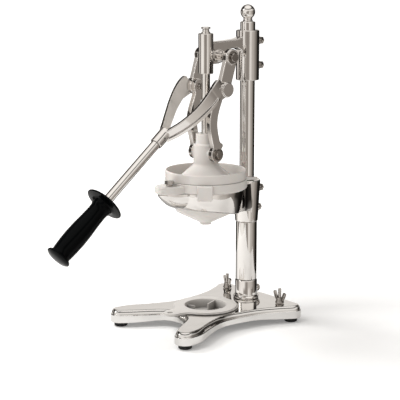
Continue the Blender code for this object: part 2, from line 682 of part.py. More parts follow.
def make_head():
    head = chamfered_cylinder(HEAD_R, HEAD_Z0, HEAD_Z1, 0.8, at_post())
    guide = chamfered_cylinder(GUIDE_R, GUIDE_Z0, GUIDE_Z1, 0.6)
    end = HEAD_BARREL[0][0]
    barrel = lathe([(0, -end)] + [(r, -x) for x, r in HEAD_BARREL]
                   + [(r, x) for x, r in reversed(HEAD_BARREL)] + [(0, end)],
                   matrix=along_x(TOP_PIVOT))
    union(head, prism(HEAD_BEAM, -7.0, 7.0, "X", 1.2), guide, barrel)
    bolts = ("head_bolt_upper", "head_bolt_lower")
    union(head, *[rear_boss(name, 12, 7.0, face=19.0) for name in bolts])
    union(head, *[rear_boss(name, 14, 5.0, sides=MEDIUM_SIDES) for name in bolts])
    cut(head, upright(0, POST_Y, 360, 445, POST_BORE_R),
        upright(0, 0, 375, 445, GUIDE_BORE_R, MEDIUM_SIDES),
        crossbar(TOP_PIVOT, -30, 30, TOP_BORE_R), *[bolt_hole(name) for name in bolts])
    finish_node(head, "head_casting", CHROME)

    bush = tube((0, 0, GUIDE_Z0 + 0.2), (0, 0, GUIDE_Z1 - 0.2), BUSH_R, ROD_R + GAP,
                MEDIUM_SIDES)
    finish_node(bush, "guide_bush", BRONZE)
    finish_node(crossbar(TOP_PIVOT, -35.0, 35.0, 4.9, chamfer=0.4), "top_pivot_shaft", STEEL)


# ---------------------------------------------------------------- linkage
def make_pivot_screws(name, parent, pivot, face, inner_x, shank_r, washer_r, head_r, hexagon):
    """Pair of screws along X, each with a washer face and a round or a hexagon head."""
    washer_x = face + GAP
    head_x = washer_x + 1.15
    end_x = face + 6.0
    stations = [(shank_r, inner_x, False), (shank_r, washer_x, False),
                (washer_r, washer_x, False), (washer_r, head_x, False),
                (head_r, head_x, hexagon), (head_r, end_x - 0.7, hexagon),
                (head_r - (1.3 if hexagon else 0.8), end_x, False)]
    screw = loft([[(x, pivot[0] + u, pivot[1] + v) for u, v in polygon(radius, 12, six)]
                  for radius, x, six in stations])
    mirrored_pair(screw, name, STEEL, parent)


def ladder(left, right, x0, x1):
    """Flat plate between two edges (y, z) of equal point counts that share their end points."""
    bm = bmesh.new()
    rows = []
    for x in (x0, x1):
        left_row = [bm.verts.new((x, *p)) for p in left]
        inner = [bm.verts.new((x, *p)) for p in right[1:-1]]
        right_row = [left_row[0]] + inner + [left_row[-1]]
        rows.append((left_row, right_row))
        bridge(bm, left_row, right_row, closed=False)
    for row_a, row_b in zip(*rows):
        bridge(bm, row_a, row_b, closed=False)
    return new_object(bm)


def link_plate(start, end, start_r, end_r, x0, x1, waist, bow=0.0, steps=8):
    """Flat link with an eye at start and at end (y, z), at least waist in half width between
    them and bowed towards -Y."""
    start, end = Vector(start), Vector(end)
    length = (end - start).length
    forward = (end - start).normalized()
    across = Vector((-forward.y, forward.x))
    if across.x > 0:            # .x holds y here
        across = -across
    eye_steps = 4
    stations = [-start_r * math.cos(math.pi * 0.5 * i / eye_steps) for i in range(eye_steps)]
    stations += [length * i / steps for i in range(steps + 1)]
    stations += [length + end_r * math.sin(math.pi * 0.5 * (i + 1) / eye_steps)
                 for i in range(eye_steps)]
    left, right = [], []
    for s in stations:
        half = max(math.sqrt(max(0.0, start_r * start_r - s * s)),
                   math.sqrt(max(0.0, end_r * end_r - (s - length) ** 2)),
                   waist if 0 <= s <= length else 0.0)
        t = min(1.0, max(0.0, s / length))
        centre = start + forward * s + across * (bow * math.sin(math.pi * t) ** 1.8)
        left.append(tuple(centre + across * half))
        right.append(tuple(centre - across * half))
    return ladder(left, right, x0, x1)


def make_links():
    upper = link_plate(TOP_PIVOT, KNEE_PIVOT, 12.0, 12.2, UP_X0, UP_X1, waist=10.6)
    union(upper, tube((UP_X1 - 1.0, *TOP_PIVOT), (UP_X1 + 1.9, *TOP_PIVOT), 11.0, 8.9,
                      chamfer=0.4))
    cut(upper, crossbar(TOP_PIVOT, 20, 40, TOP_BORE_R),
        crossbar(KNEE_PIVOT, 20, 40, KNEE_BORE_R))
    mirrored_pair(upper, "upper_link", CHROME, LEVER)

    lower = link_plate(BELL_PIVOT, KNEE_PIVOT, 11.5, 11.5, LOW_X0, LOW_X1, waist=7.4, bow=10.5,
                       steps=12)
    cut(lower, crossbar(BELL_PIVOT, 10, 30, KNEE_BORE_R),
        crossbar(KNEE_PIVOT, 10, 30, KNEE_BORE_R))
    mirrored_pair(lower, "lower_link", CHROME, LOWER)


def make_knee():
    """Knee pins, which belong to the lever, and stub nuts, which belong to the lower links."""
    flange_x = YOKE_X1 + GAP
    pin = lathe([(0, 27.9), (4.4, 27.9), (4.4, flange_x), (10.2, flange_x),
                 (10.2, YOKE_X1 + 1.3), (9.6, YOKE_X1 + 1.8), (0, YOKE_X1 + 1.8)],
                matrix=along_x(KNEE_PIVOT))
    mirrored_pair(pin, "knee_pin", CHROME, LEVER)
    stub = lathe([(0, 15.4), (4.6, 15.4), (5.4, 16.0), (5.4, 18.3), (4.3, 18.3), (4.3, 26.7),
                  (0, 26.7)], MEDIUM_SIDES, along_x(KNEE_PIVOT))
    mirrored_pair(stub, "knee_stub", STEEL, LOWER)


# ---------------------------------------------------------------- lever
# Yoke arm on the +X side: (s along the handle axis, x, height over the axis,
# half depth, thickness)
YOKE_ARM = [
    (-16.0, 3.5, -1.5, 7.0, 5.5), (-28.0, 10.5, -2.6, 8.0, 5.5), (-42.0, 19.0, -3.2, 8.4, 5.2),
    (-60.0, 28.0, -2.2, 9.0, 5.2), (-78.0, 34.8, 0.2, 9.8, 5.2), (-96.0, 38.4, 3.0, 11.0, 5.6),
    (-108.0, 38.7, 4.9, 11.3, 5.7), (-116.0, 38.2, 6.8, 10.2, 5.6),
    (-121.5, 37.6, 8.2, 8.2, 5.2), (-124.2, 37.2, 8.8, 5.2, 4.6),
]

# Grip with its bore, (r, distance from its inner end)
GRIP = [(7.4, 0.0), (12.0, 0.0), (27.4, 0.9), (28.9, 2.0), (29.0, 3.2), (28.0, 4.0),
        (22.0, 5.6), (17.6, 8.4), (15.0, 11.6), (14.6, 13.4), (13.5, 14.0), (13.3, 20.0),
        (14.2, 34.0), (15.5, 52.0), (16.0, 68.0), (15.6, 82.0), (14.8, 94.0), (14.3, 99.0),
        (15.0, 101.4), (17.6, 102.6), (18.5, 104.0), (18.4, 105.2), (16.4, 106.6),
        (9.0, 108.0), (0, 108.4), (0, 106.0), (7.4, 106.0)]


def on_handle(s, up=0.0, x=0.0):
    """Point by the handle axis, s outwards from the socket end."""
    return SOCKET_END + HANDLE_DIR * s + HANDLE_UP * up + Vector((x, 0, 0))


def handle_frame(s):
    """Frame on the handle axis at s, with Z outwards."""
    return frame_along(on_handle(s), on_handle(s + 100.0))


def make_yoke_arm():
    """One arm: a channel-section strap that bows out from the socket to the knee boss."""
    rings = []
    for i, (s, x, up, half, thickness) in enumerate(YOKE_ARM):
        s0, x0 = YOKE_ARM[max(i - 1, 0)][:2]
        s1, x1 = YOKE_ARM[min(i + 1, len(YOKE_ARM) - 1)][:2]
        tangent = (Vector((x1 - x0, 0, 0)) + HANDLE_DIR * (s1 - s0)).normalized()
        side = (Vector((1, 0, 0)) - tangent * tangent.x).normalized()
        centre = on_handle(s, up, x)
        w = thickness / 2
        # The lip along the lower edge and the step fade out beside the knee.
        lip, step, bevel = (0.0, 0.1, 0.8) if s < -103.0 else (2.2, 0.6, 1.4)
        section = [(-half, -w), (-half, w + lip), (-half + 4.2, w + lip),
                   (-half + 5.0, w - step), (half - 0.8, w - step), (half, w - bevel),
                   (half, -w)]
        rings.append([tuple(centre + HANDLE_UP * a + side * b) for a, b in section])
    return loft(rings)


def make_yoke():
    arm = make_yoke_arm()
    socket = bar(on_handle(-26.0), on_handle(0.0), 9.3, chamfer=0.6)
    boss = crossbar(KNEE_PIVOT, YOKE_X0, YOKE_X1, 11.2, chamfer=0.6)
    # Web that fills the corner between arm and knee boss.
    upper, lower = on_handle(-113.0, 3.0), on_handle(-100.0, -5.0)
    knee_y, knee_z = KNEE_PIVOT
    web = prism([(knee_y + 4, knee_z + 9), (upper.y, upper.z + 4), (lower.y, lower.z + 4),
                 (lower.y + 1, lower.z - 3), (knee_y - 2, knee_z - 10)],
                YOKE_X0 + 0.15, 41.25, "X")
    right = union(arm, web, boss)
    left = mirror_copy(right)
    yoke = union(socket, right, left)
    cut(yoke, bar(on_handle(-21.0), on_handle(5.0), 7.45, MEDIUM_SIDES))
    # The arm ends run past the knee with clearance to the upper links.
    clearance = link_plate(TOP_PIVOT, KNEE_PIVOT, 12.5, 12.6, UP_X0 - 0.6, UP_X1 + GAP,
                           waist=11.1)
    cut(yoke, mirror_copy(clearance), clearance)
    for side in (-1, 1):
        cut(yoke, crossbar(KNEE_PIVOT, side * 30, side * 48, KNEE_BORE_R))
    cut(yoke, bar(on_handle(SET_SCREW_S), on_handle(SET_SCREW_S, x=14), 1.9))
    finish_node(yoke, "yoke", CHROME, LEVER)


def make_handle():
    """Set screw on the +X side of the socket, tube, collar and grip."""
    screw = bar(on_handle(SET_SCREW_S, x=7.75), on_handle(SET_SCREW_S, x=9.2), 1.55)
    finish_node(screw, "handle_set_screw", STEEL, LEVER)
    stick = lathe([(0, 0), (6.9, 0), (7.1, 0.3), (7.1, 232.0), (0, 232.0)], MEDIUM_SIDES,
                  handle_frame(-20.6))
    finish_node(stick, "handle_tube", CHROME, LEVER)
    collar = lathe([(7.4, 0), (9.6, 0), (10.2, 0.6), (10.2, 3.0), (7.4, 3.0)],
                   matrix=handle_frame(113.4))
    finish_node(collar, "grip_collar", GREY, LEVER)
    finish_node(lathe(GRIP, matrix=handle_frame(116.8)), "grip", BLACK, LEVER)


# ---------------------------------------------------------------- studs and wing nuts
# Hub, (r, z), and the wing on the +X side, (x, z)
NUT_HUB = [(2.9, 0), (6.6, 0), (6.9, 0.8), (5.4, 5.6), (4.8, 8.0), (2.9, 8.0)]
NUT_WING = [(3.9, 2.0), (7.5, 3.6), (11.2, 8.6), (13.8, 14.6), (13.2, 16.6), (9.4, 17.2),
            (7.8, 13.8), (6.0, 10.0), (3.9, 7.6)]
STUD = [(0, 10.6), (2.4, 10.6), (2.4, 48.6), (1.8, 49.4), (0, 49.4)]


def make_stud_and_nut(side, x, axis, turn):
    stud = lathe(STUD, MEDIUM_SIDES, Matrix.Translation((x, STUD_Y, 0)))
    finish_node(stud, "stud_" + side, STEEL)

    nut = lathe(NUT_HUB, MEDIUM_SIDES)
    for sign in (-1, 1):
        # Reversing the mirrored wing keeps it counter-clockwise.
        wing = [(sign * wx, wz) for wx, wz in NUT_WING][::sign]
        union(nut, prism(wing, -1.8, 1.8, "Y"))
    turned(nut, turn)
    nut.data.transform(Matrix.Translation((x, STUD_Y, BASE_TOP + 1.0)))
    finish_node(nut, "wing_nut_" + side, STEEL, axis)


# ---------------------------------------------------------------- build
make_base()
make_feet()
make_glass_rest()
make_column()
make_post()
make_ball_finial()
make_bowl_holder()
make_funnel_cup()
make_strainer_basket()
make_cup_bolt()
make_plunger()
make_head()
for bolt_name in REAR_BOLTS:
    make_rear_bolt(bolt_name)
make_pivot_screws("top_pivot_cap", LEVER, TOP_PIVOT, face=UP_X1, inner_x=UP_X1 + 0.1,
                  shank_r=4.0, washer_r=8.4, head_r=6.5, hexagon=False)
make_pivot_screws("bell_pivot_bolt", PLUNGER, BELL_PIVOT, face=LOW_X1, inner_x=8.2,
                  shank_r=3.9, washer_r=8.8, head_r=6.6, hexagon=True)
make_links()
make_knee()
make_yoke()
make_handle()
make_stud_and_nut("left", -STUD_X, NUT_LEFT, turn=-20)
make_stud_and_nut("right", STUD_X, NUT_RIGHT, turn=-5)
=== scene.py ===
# Lever citrus press: a post on an X-shaped base carries the cup and the head, and a forked
# lever drives the plunger through paired links.
# Shapes are drawn in millimetres: plunger axis on X = Y = 0, table at Z = 0, front towards -Y,
# post at +Y, right-hand parts at +X. finish_node() turns them into metres in the model's frame,
# where the plunger axis stands at Y = SHIFT_Y.
import json
import math

import bmesh
import bpy
from mathutils import Matrix, Vector


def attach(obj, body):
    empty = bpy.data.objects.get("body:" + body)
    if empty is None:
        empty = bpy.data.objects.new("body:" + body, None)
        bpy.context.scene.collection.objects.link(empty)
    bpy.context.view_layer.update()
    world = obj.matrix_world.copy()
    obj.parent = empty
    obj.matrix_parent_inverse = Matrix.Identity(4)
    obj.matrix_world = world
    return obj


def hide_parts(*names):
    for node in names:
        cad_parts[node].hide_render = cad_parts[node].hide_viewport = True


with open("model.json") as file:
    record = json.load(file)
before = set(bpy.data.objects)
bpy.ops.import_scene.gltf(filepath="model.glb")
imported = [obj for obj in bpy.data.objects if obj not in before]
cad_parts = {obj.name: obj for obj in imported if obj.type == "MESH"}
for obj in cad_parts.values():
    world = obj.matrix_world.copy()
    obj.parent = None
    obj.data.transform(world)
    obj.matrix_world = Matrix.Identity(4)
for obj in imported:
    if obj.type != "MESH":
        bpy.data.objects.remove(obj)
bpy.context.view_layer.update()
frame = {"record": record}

RECORD = frame["record"]
BODY = {node: body for body, nodes in RECORD["behaviour"]["bodies"].items() for node in nodes}

# ---------------------------------------------------------------- driving dimensions (mm)
SHIFT_Y = 77.3
GAP = 0.35                      # clearance between fitted parts
SMOOTH_SIDES = 64               # for small round shapes drawn finer than usual

POST_Y = 83.0
POST_RADIUS = 11.25
POST_TOP = 452.0
POST_BORE = POST_RADIUS + GAP
POST_AXIS = Matrix.Translation((0, POST_Y, 0))

FOOT_X, FOOT_FRONT_Y, FOOT_REAR_Y = 75.5, -104.0, 107.0
FOOT_RADIUS, FOOT_HEIGHT = 10.2, 6.8
LEG_RADIUS = 15.5               # rounded ends of the base legs
BASE_BOTTOM, BASE_EDGE, BASE_TOP = 7.3, 18.6, 26.0
STUD_X, STUD_Y = 60.0, 98.0

RING_RADIUS, RING_HOLE, RING_TOP = 49.2, 31.4, 29.4
TONGUE_Y, TONGUE_RADIUS = -66.5, 14.0
CUP_BOLT_Y = -70.0

# Bolts behind the post: heights, and how far from the post axis their heads bear.
SOCKET_BOLT_Z, SOCKET_BOLT_FACE = 38, 19.0
BOWL_UPPER_Z, BOWL_UPPER_FACE = 197, 25.2
BOWL_LOWER_Z, BOWL_LOWER_FACE = 167, 21.0
HEAD_BOLT_ZS, HEAD_BOLT_FACE = (423, 386), 23.0

# Pivots run along X; these are their (y, z).
TOP_PIVOT = (20.5, 404.5)
KNEE_PIVOT = (6.0, 358.8)
BELL_PIVOT = (0.0, 262.5)
PIVOT_BORE = 4.8                # bore radius in the links and the yoke
TOP_PIVOT_BORE = 5.3
PRESS_BORE = 4.3                # bore radius through the bell and the rod
# Inner and outer faces, as X on the right side.
LOWER_LINK = (18.7, 27.0)
UPPER_LINK = (27.4, 35.4)
YOKE_BOSS = (35.8, 41.8)

HEAD_BOTTOM, HEAD_TOP, HEAD_RADIUS = 365.0, 439.6, 17.5
GUIDE_BOTTOM, GUIDE_TOP, GUIDE_RADIUS = 379.6, 438.3, 11.0
ROD_RADIUS, ROD_TOP = 6.4, 441.0

HANDLE_ANGLE = math.radians(39.0)       # below the horizontal
SOCKET_END = Vector((0, -94.9, 284.6))  # outer end of the yoke socket, on the handle axis
HANDLE_OUT = Vector((0, -math.cos(HANDLE_ANGLE), -math.sin(HANDLE_ANGLE)))
HANDLE_UP = Vector((0, -math.sin(HANDLE_ANGLE), math.cos(HANDLE_ANGLE)))


# ---------------------------------------------------------------- shape helpers
def sides_for(radius):
    """Sides of a round shape."""
    return 96 if radius >= 40 else 64 if radius >= 9 else 48


def link_to_scene(mesh):
    ob = bpy.data.objects.new("work", mesh)
    bpy.context.scene.collection.objects.link(ob)
    return ob


def new_object(bm):
    bmesh.ops.recalc_face_normals(bm, faces=bm.faces)
    mesh = bpy.data.meshes.new("work")
    bm.to_mesh(mesh)
    bm.free()
    return link_to_scene(mesh)


def bridge(bm, first, second):
    """Faces between two closed loops; a loop may be one vertex repeated."""
    count = len(first)
    for i in range(count):
        j = (i + 1) % count
        corners = list(dict.fromkeys((first[i], first[j], second[j], second[i])))
        if len(corners) > 2:
            bm.faces.new(corners)


def frame_to(start, end):
    """Matrix whose Z runs from start to end, with its origin on start."""
    start, end = Vector(start), Vector(end)
    turn = (end - start).normalized().to_track_quat("Z", "Y")
    return Matrix.Translation(start) @ turn.to_matrix().to_4x4()


def across(pivot):
    """Matrix that lays a turned shape along X through a pivot."""
    return Matrix.Translation((0, *pivot)) @ Matrix.Rotation(math.pi / 2, 4, "Y")


def lathe(profile, sides=None, place=None, ring=False):
    """Turned solid about Z. profile holds (radius, z); ring=True closes it on itself."""
    sides = sides or sides_for(max(point[0] for point in profile))
    bm = bmesh.new()
    loops = []
    for radius, z in profile:
        if radius < 1e-6:
            loops.append([bm.verts.new((0, 0, z))] * sides)
        else:
            loops.append([bm.verts.new((radius * math.cos(2 * math.pi * i / sides),
                                        radius * math.sin(2 * math.pi * i / sides), z))
                          for i in range(sides)])
    for lower, upper in zip(loops, loops[1:]):
        bridge(bm, lower, upper)
    if ring:
        bridge(bm, loops[-1], loops[0])
    else:
        for loop in (loops[0], loops[-1]):
            if loop[0] is not loop[1]:
                bm.faces.new(loop)
    if place is not None:
        bm.transform(place)
    return new_object(bm)


def bar(start, end, radius, sides=None, chamfer=0.0):
    """Round bar between two points."""
    length = (Vector(end) - Vector(start)).length
    flank = [(radius, chamfer), (radius, length - chamfer)] if chamfer else []
    profile = [(0, 0), (radius - chamfer, 0), *flank, (radius - chamfer, length), (0, length)]
    return lathe(profile, sides, frame_to(start, end))


def upright(x, y, bottom, top, radius, sides=None):
    return bar((x, y, bottom), (x, y, top), radius, sides)


def crossbar(x_start, x_end, pivot, radius, chamfer=0.0):
    return bar((x_start, *pivot), (x_end, *pivot), radius, chamfer=chamfer)


def tube(start, end, outer, inner, sides=None, chamfer=0.0):
    length = (Vector(end) - Vector(start)).length
    flank = [(outer, chamfer), (outer, length - chamfer)] if chamfer else []
    profile = [(inner, 0), (outer - chamfer, 0), *flank, (outer - chamfer, length), (inner, length)]
    return lathe(profile, sides, frame_to(start, end), ring=True)


def loft(rings):
    """Closed solid through rings of equal point counts."""
    bm = bmesh.new()
    loops = [[bm.verts.new(point) for point in ring] for ring in rings]
    for first, second in zip(loops, loops[1:]):
        bridge(bm, first, second)
    bm.faces.new(loops[0])
    bm.faces.new(loops[-1])
    bm.normal_update()
    bmesh.ops.triangulate(bm, faces=[f for f in bm.faces if len(f.verts) > 4])
    return new_object(bm)


def offset(outline, inset):
    """Moves each corner of a counter-clockwise outline inwards."""
    moved = []
    for i in range(len(outline)):
        before, corner = Vector(outline[i - 1]), Vector(outline[i])
        after = Vector(outline[(i + 1) % len(outline)])
        normal_in = Vector((-(corner - before).y, (corner - before).x)).normalized()
        normal_out = Vector((-(after - corner).y, (after - corner).x)).normalized()
        mitre = (normal_in + normal_out).normalized()
        mitre = mitre / max(0.5, mitre.dot(normal_in))
        moved.append(tuple(corner + mitre * inset))
    return moved


def prism(outline, start, end, axis="Z", chamfer=0.0):
    """Extrudes a counter-clockwise outline: (x, y) along Z, (x, z) along Y, (y, z) along X."""
    levels = [(start, 0.0), (end, 0.0)]
    if chamfer:
        levels = [(start, chamfer), (start + chamfer, 0.0), (end - chamfer, 0.0), (end, chamfer)]
    rings = []
    for level, inset in levels:
        points = offset(outline, inset) if inset else outline
        if axis == "X":
            rings.append([(level, y, z) for y, z in points])
        elif axis == "Y":
            rings.append([(x, level, z) for x, z in points])
        else:
            rings.append([(x, y, level) for x, y in points])
    return loft(rings)


def volume(mesh):
    """Signed volume, or None for a mesh with an open or a shared edge."""
    bm = bmesh.new()
    bm.from_mesh(mesh)
    closed = all(len(edge.link_faces) == 2 for edge in bm.edges)
    result = bm.calc_volume(signed=True) if closed else None
    bm.free()
    return result


def boolean(ob, other, operation):
    """Boolean with the MANIFOLD solver, or with EXACT where that leaves no closed mesh."""
    for solver in ("MANIFOLD", "EXACT"):
        modifier = ob.modifiers.new("b", "BOOLEAN")
        modifier.operation, modifier.solver, modifier.object = operation, solver, other
        graph = bpy.context.evaluated_depsgraph_get()
        mesh = bpy.data.meshes.new_from_object(ob.evaluated_get(graph))
        ob.modifiers.clear()
        if volume(mesh):
            break
    ob.data = mesh
    bpy.data.objects.remove(other, do_unlink=True)


def union(ob, *others):
    for other in others:
        boolean(ob, other, "UNION")
    return ob


def cut(ob, *others):
    for other in others:
        boolean(ob, other, "DIFFERENCE")
    return ob


def mirrored(ob):
    """Copy of the shape on the other side of X = 0."""
    mesh = ob.data.copy()
    mesh.transform(Matrix.Scale(-1, 4, (1, 0, 0)))
    mesh.flip_normals()
    return link_to_scene(mesh)


def arc(x, y, radius, start_deg, end_deg, steps):
    angles = [math.radians(start_deg + (end_deg - start_deg) * i / steps)
              for i in range(steps + 1)]
    return [(x + radius * math.cos(a), y + radius * math.sin(a)) for a in angles]


def smooth_curve(keys, steps):
    """Catmull-Rom points through keys of any width, steps a span, ends included."""
    curve = []
    keys = [Vector(key) for key in keys]
    for i in range(len(keys) - 1):
        before, here, there = keys[max(i - 1, 0)], keys[i], keys[i + 1]
        after = keys[min(i + 2, len(keys) - 1)]
        for k in range(steps):
            t = k / steps
            curve.append(tuple(0.5 * (
                (2 * here) + (there - before) * t
                + (2 * before - 5 * here + 4 * there - after) * t * t
                + (3 * here - before - 3 * there + after) * t ** 3)))
    curve.append(tuple(keys[-1]))
    return curve


def evened(outline, step, passes=3):
    """Closed outline resampled about every step, then smoothed."""
    points = [Vector(point) for point in outline]
    points.append(points[0])
    lengths = [(b - a).length for a, b in zip(points, points[1:])]
    total = sum(lengths)
    count = int(round(total / step / 4.0)) * 4
    even, i, done = [], 0, 0.0
    for k in range(count):
        wanted = total * k / count
        while i < len(lengths) - 1 and done + lengths[i] < wanted:
            done += lengths[i]
            i += 1
        even.append(points[i].lerp(points[i + 1], (wanted - done) / max(lengths[i], 1e-9)))
    for _ in range(passes):
        even = [(even[j - 1] + 2 * even[j] + even[(j + 1) % count]) / 4 for j in range(count)]
    return [tuple(point) for point in even]


def screw_section(radius, hexagonal=False, sides=48):
    """Circle, or hexagon of that corner radius, with the same number of points."""
    points = []
    for i in range(sides):
        angle = 2 * math.pi * i / sides
        reach = radius
        if hexagonal:
            reach = radius * math.cos(math.pi / 6) / math.cos(angle % (math.pi / 3) - math.pi / 6)
        points.append((reach * math.cos(angle), reach * math.sin(angle)))
    return points


# ---------------------------------------------------------------- shader helpers
def rgba(value):
    return value if isinstance(value, bpy.types.NodeSocket) else (*value, 1)


class Graph:
    """Adds shader nodes to a tree and links them."""

    def __init__(self, tree, coordinates):
        self.tree = tree
        self.coord = self.new("TexCoord").outputs[coordinates]

    def put(self, node, key, value):
        if isinstance(value, bpy.types.NodeSocket):
            self.tree.links.new(value, node.inputs[key])
        else:
            node.inputs[key].default_value = value

    def new(self, kind, **inputs):
        node = self.tree.nodes.new("ShaderNode" + kind)
        for key, value in inputs.items():
            self.put(node, key.replace("_", " "), value)
        return node

    def math(self, operation, first, second=0.5):
        node = self.new("Math")
        node.operation = operation
        self.put(node, 0, first)
        self.put(node, 1, second)
        return node.outputs[0]

    def mix(self, factor, first, second):
        node = self.new("Mix")
        node.data_type = "RGBA"
        self.put(node, 0, factor)
        self.put(node, 6, rgba(first))
        self.put(node, 7, rgba(second))
        return node.outputs[2]

    def dot(self, direction):
        node = self.new("VectorMath")
        node.operation = "DOT_PRODUCT"
        self.put(node, 0, self.coord)
        self.put(node, 1, direction)
        return node.outputs["Value"]

    def ramp(self, factor, stops):
        """Ramp over (position, brightness) stops, warmer where darker."""
        node = self.new("ValToRGB", Fac=factor)
        elements = node.color_ramp.elements
        while len(elements) < len(stops):
            elements.new(0.5)
        for element, (position, value) in zip(elements, stops):
            element.position = position
            bright = min(value, 1.0)
            element.color = (value, value * (0.89 + 0.085 * bright),
                             value * (0.79 + 0.155 * bright), 1)
        return node.outputs["Color"]


class Material(Graph):
    def __init__(self, name):
        self.mat = bpy.data.materials.new(name)
        self.mat.use_nodes = True
        super().__init__(self.mat.node_tree, "Object")
        self.bsdf = self.tree.nodes["Principled BSDF"]

    def noise(self, scale, detail, roughness, stretch=None, distortion=0.0):
        vector = self.coord
        if stretch:
            vector = self.new("Mapping", Vector=vector, Scale=stretch).outputs["Vector"]
        return self.new("TexNoise", Vector=vector, Scale=scale, Detail=detail,
                        Roughness=roughness, Distortion=distortion).outputs["Fac"]

    def remap(self, value, source=(0.0, 1.0), target=(0.0, 1.0)):
        return self.new("MapRange", Value=value, From_Min=source[0], From_Max=source[1],
                        To_Min=target[0], To_Max=target[1]).outputs["Result"]

    def bump(self, height, strength, distance, normal=None):
        node = self.new("Bump", Height=height, Strength=strength, Distance=distance)
        if normal is not None:
            self.put(node, "Normal", normal)
        return node.outputs["Normal"]

    def rounded(self, radius, samples=6):
        node = self.new("Bevel", Radius=radius)
        node.samples = samples
        return node.outputs["Normal"]

    def geometry(self, output):
        return self.new("NewGeometry").outputs[output]

    def component(self, vector, axis):
        return self.new("SeparateXYZ", Vector=vector).outputs[axis]

    def worn_edge(self):
        return self.remap(self.geometry("Pointiness"), source=(0.52, 0.60))

    def finish(self, color, roughness, metallic, normal, **more):
        values = {"Base Color": rgba(color), "Roughness": roughness, "Metallic": metallic,
                  "Normal": normal}
        values.update((key.replace("_", " "), value) for key, value in more.items())
        for key, value in values.items():
            self.put(self.bsdf, key, value)
        return self.mat


# ---------------------------------------------------------------- materials
# In these, roughness is a (low, high) pair, edge the radius of the shaded edge rounding (m),
# wave the depth of the polishing waves (m) and grain the strength of the finest relief.
def plated(name, light, dark, roughness, edge, wave=0.0006, grain=0.25, brushed=False, painted_rim_reflection=0.0):
    """Bright plated or polished metal: soft polishing waves, smudges and fine hairlines."""
    m = Material(name)
    smudge = m.remap(m.noise(scale=26, detail=4, roughness=0.6, distortion=0.3),
                     source=(0.35, 0.7))
    hair = m.noise(scale=420, detail=2, roughness=0.5, stretch=(1.0, 1.0, 0.05))
    rough = m.math("ADD", m.remap(smudge, target=roughness),
                   m.math("MULTIPLY", hair, 0.03 * grain))
    color = m.mix(smudge, light, dark)
    normal = m.bump(m.noise(scale=16, detail=2, roughness=0.5), strength=0.35, distance=wave,
                    normal=m.rounded(edge))
    normal = m.bump(hair, strength=0.05 * grain, distance=0.0002, normal=normal)
    if painted_rim_reflection:
        # Painted reflection: what lies behind the press is dark, so its upright silhouettes get a
        # dark line painted into the colour.
        facing = m.new("LayerWeight", Blend=0.5).outputs["Facing"]
        outer = m.remap(facing, source=(0.42, 0.62), target=(0.0, painted_rim_reflection))
        vertical = m.remap(m.component(m.geometry("Normal"), "Z"),
                           source=(0.55, 0.9), target=(1.0, 0.0))
        color = m.mix(m.math("MULTIPLY", outer, vertical), color, (0.03, 0.027, 0.024))
    if not brushed:
        return m.finish(color, rough, 1.0, normal)
    # The faces that look towards the middle plane are left brushed.
    side = m.math("SIGN", m.component(m.coord, "X"))
    outward = m.math("MULTIPLY", side, m.component(m.geometry("Normal"), "X"))
    inside = m.remap(outward, source=(-0.8, -0.5), target=(1.0, 0.0))
    streak = m.noise(scale=700, detail=3, roughness=0.6, stretch=(1.0, 0.12, 0.12))
    color = m.mix(inside, color, (0.97, 0.93, 0.885))
    rough = m.math("ADD", rough, m.math("MULTIPLY", inside, 0.30))
    loss = m.math("MULTIPLY", inside, m.remap(streak, source=(0.3, 0.7), target=(0.5, 1.0)))
    return m.finish(color, rough, m.math("SUBTRACT", 1.0, loss), normal)


def turned(name, light, dark, roughness):
    """Fastener metal: cloudy tone, fine specks and lighter worn corners."""
    m = Material(name)
    speck = m.noise(scale=900, detail=3, roughness=0.7)
    cloud = m.noise(scale=60, detail=4, roughness=0.6)
    color = m.mix(m.remap(cloud, source=(0.3, 0.7)), light, dark)
    color = m.mix(m.worn_edge(), color, (0.52, 0.49, 0.46))
    rough = m.remap(m.math("ADD", speck, cloud), source=(0.7, 1.3), target=roughness)
    normal = m.bump(speck, strength=0.12, distance=0.0002, normal=m.rounded(0.0004))
    return m.finish(color, rough, 1.0, normal)


def moulded(name, light, dark, roughness, grain, edge=0.0006, subsurface=0.0, specular=0.5,
            coat=0.0, shade=0.0):
    """Moulded plastic: faint flow clouds, a fine grain and slightly polished edges.

    shade is how far painted shade darkens the colour in the hollows.
    """
    m = Material(name)
    cloud = m.remap(m.noise(scale=14, detail=4, roughness=0.55, distortion=0.6),
                    source=(0.3, 0.72))
    grit = m.noise(scale=1600, detail=2, roughness=0.6)
    fine = m.noise(scale=260, detail=3, roughness=0.6)
    color = m.mix(cloud, light, dark)
    if shade:
        # Painted shade: ambient occlusion darkens the colour in hollows and recesses.
        occlusion = m.new("AmbientOcclusion", Distance=0.035)
        occlusion.samples = 8
        hollow = m.remap(occlusion.outputs["AO"], source=(0.15, 0.95), target=(shade, 0.0))
        color = m.mix(hollow, color, tuple(c * 0.25 for c in dark))
    rough = m.math("ADD", m.remap(fine, source=(0.3, 0.7), target=roughness),
                   m.math("MULTIPLY", m.worn_edge(), -0.06))
    normal = m.bump(grit, strength=grain, distance=0.0002, normal=m.rounded(edge))
    normal = m.bump(m.noise(scale=30, detail=2, roughness=0.5), strength=0.10, distance=0.0006,
                    normal=normal)
    more = {"Specular_IOR_Level": specular}
    if coat:
        more.update(Coat_Weight=coat, Coat_Roughness=0.25)
    if subsurface:
        more.update(Subsurface_Weight=subsurface, Subsurface_Scale=0.004)
    return m.finish(color, rough, 0.0, normal, **more)


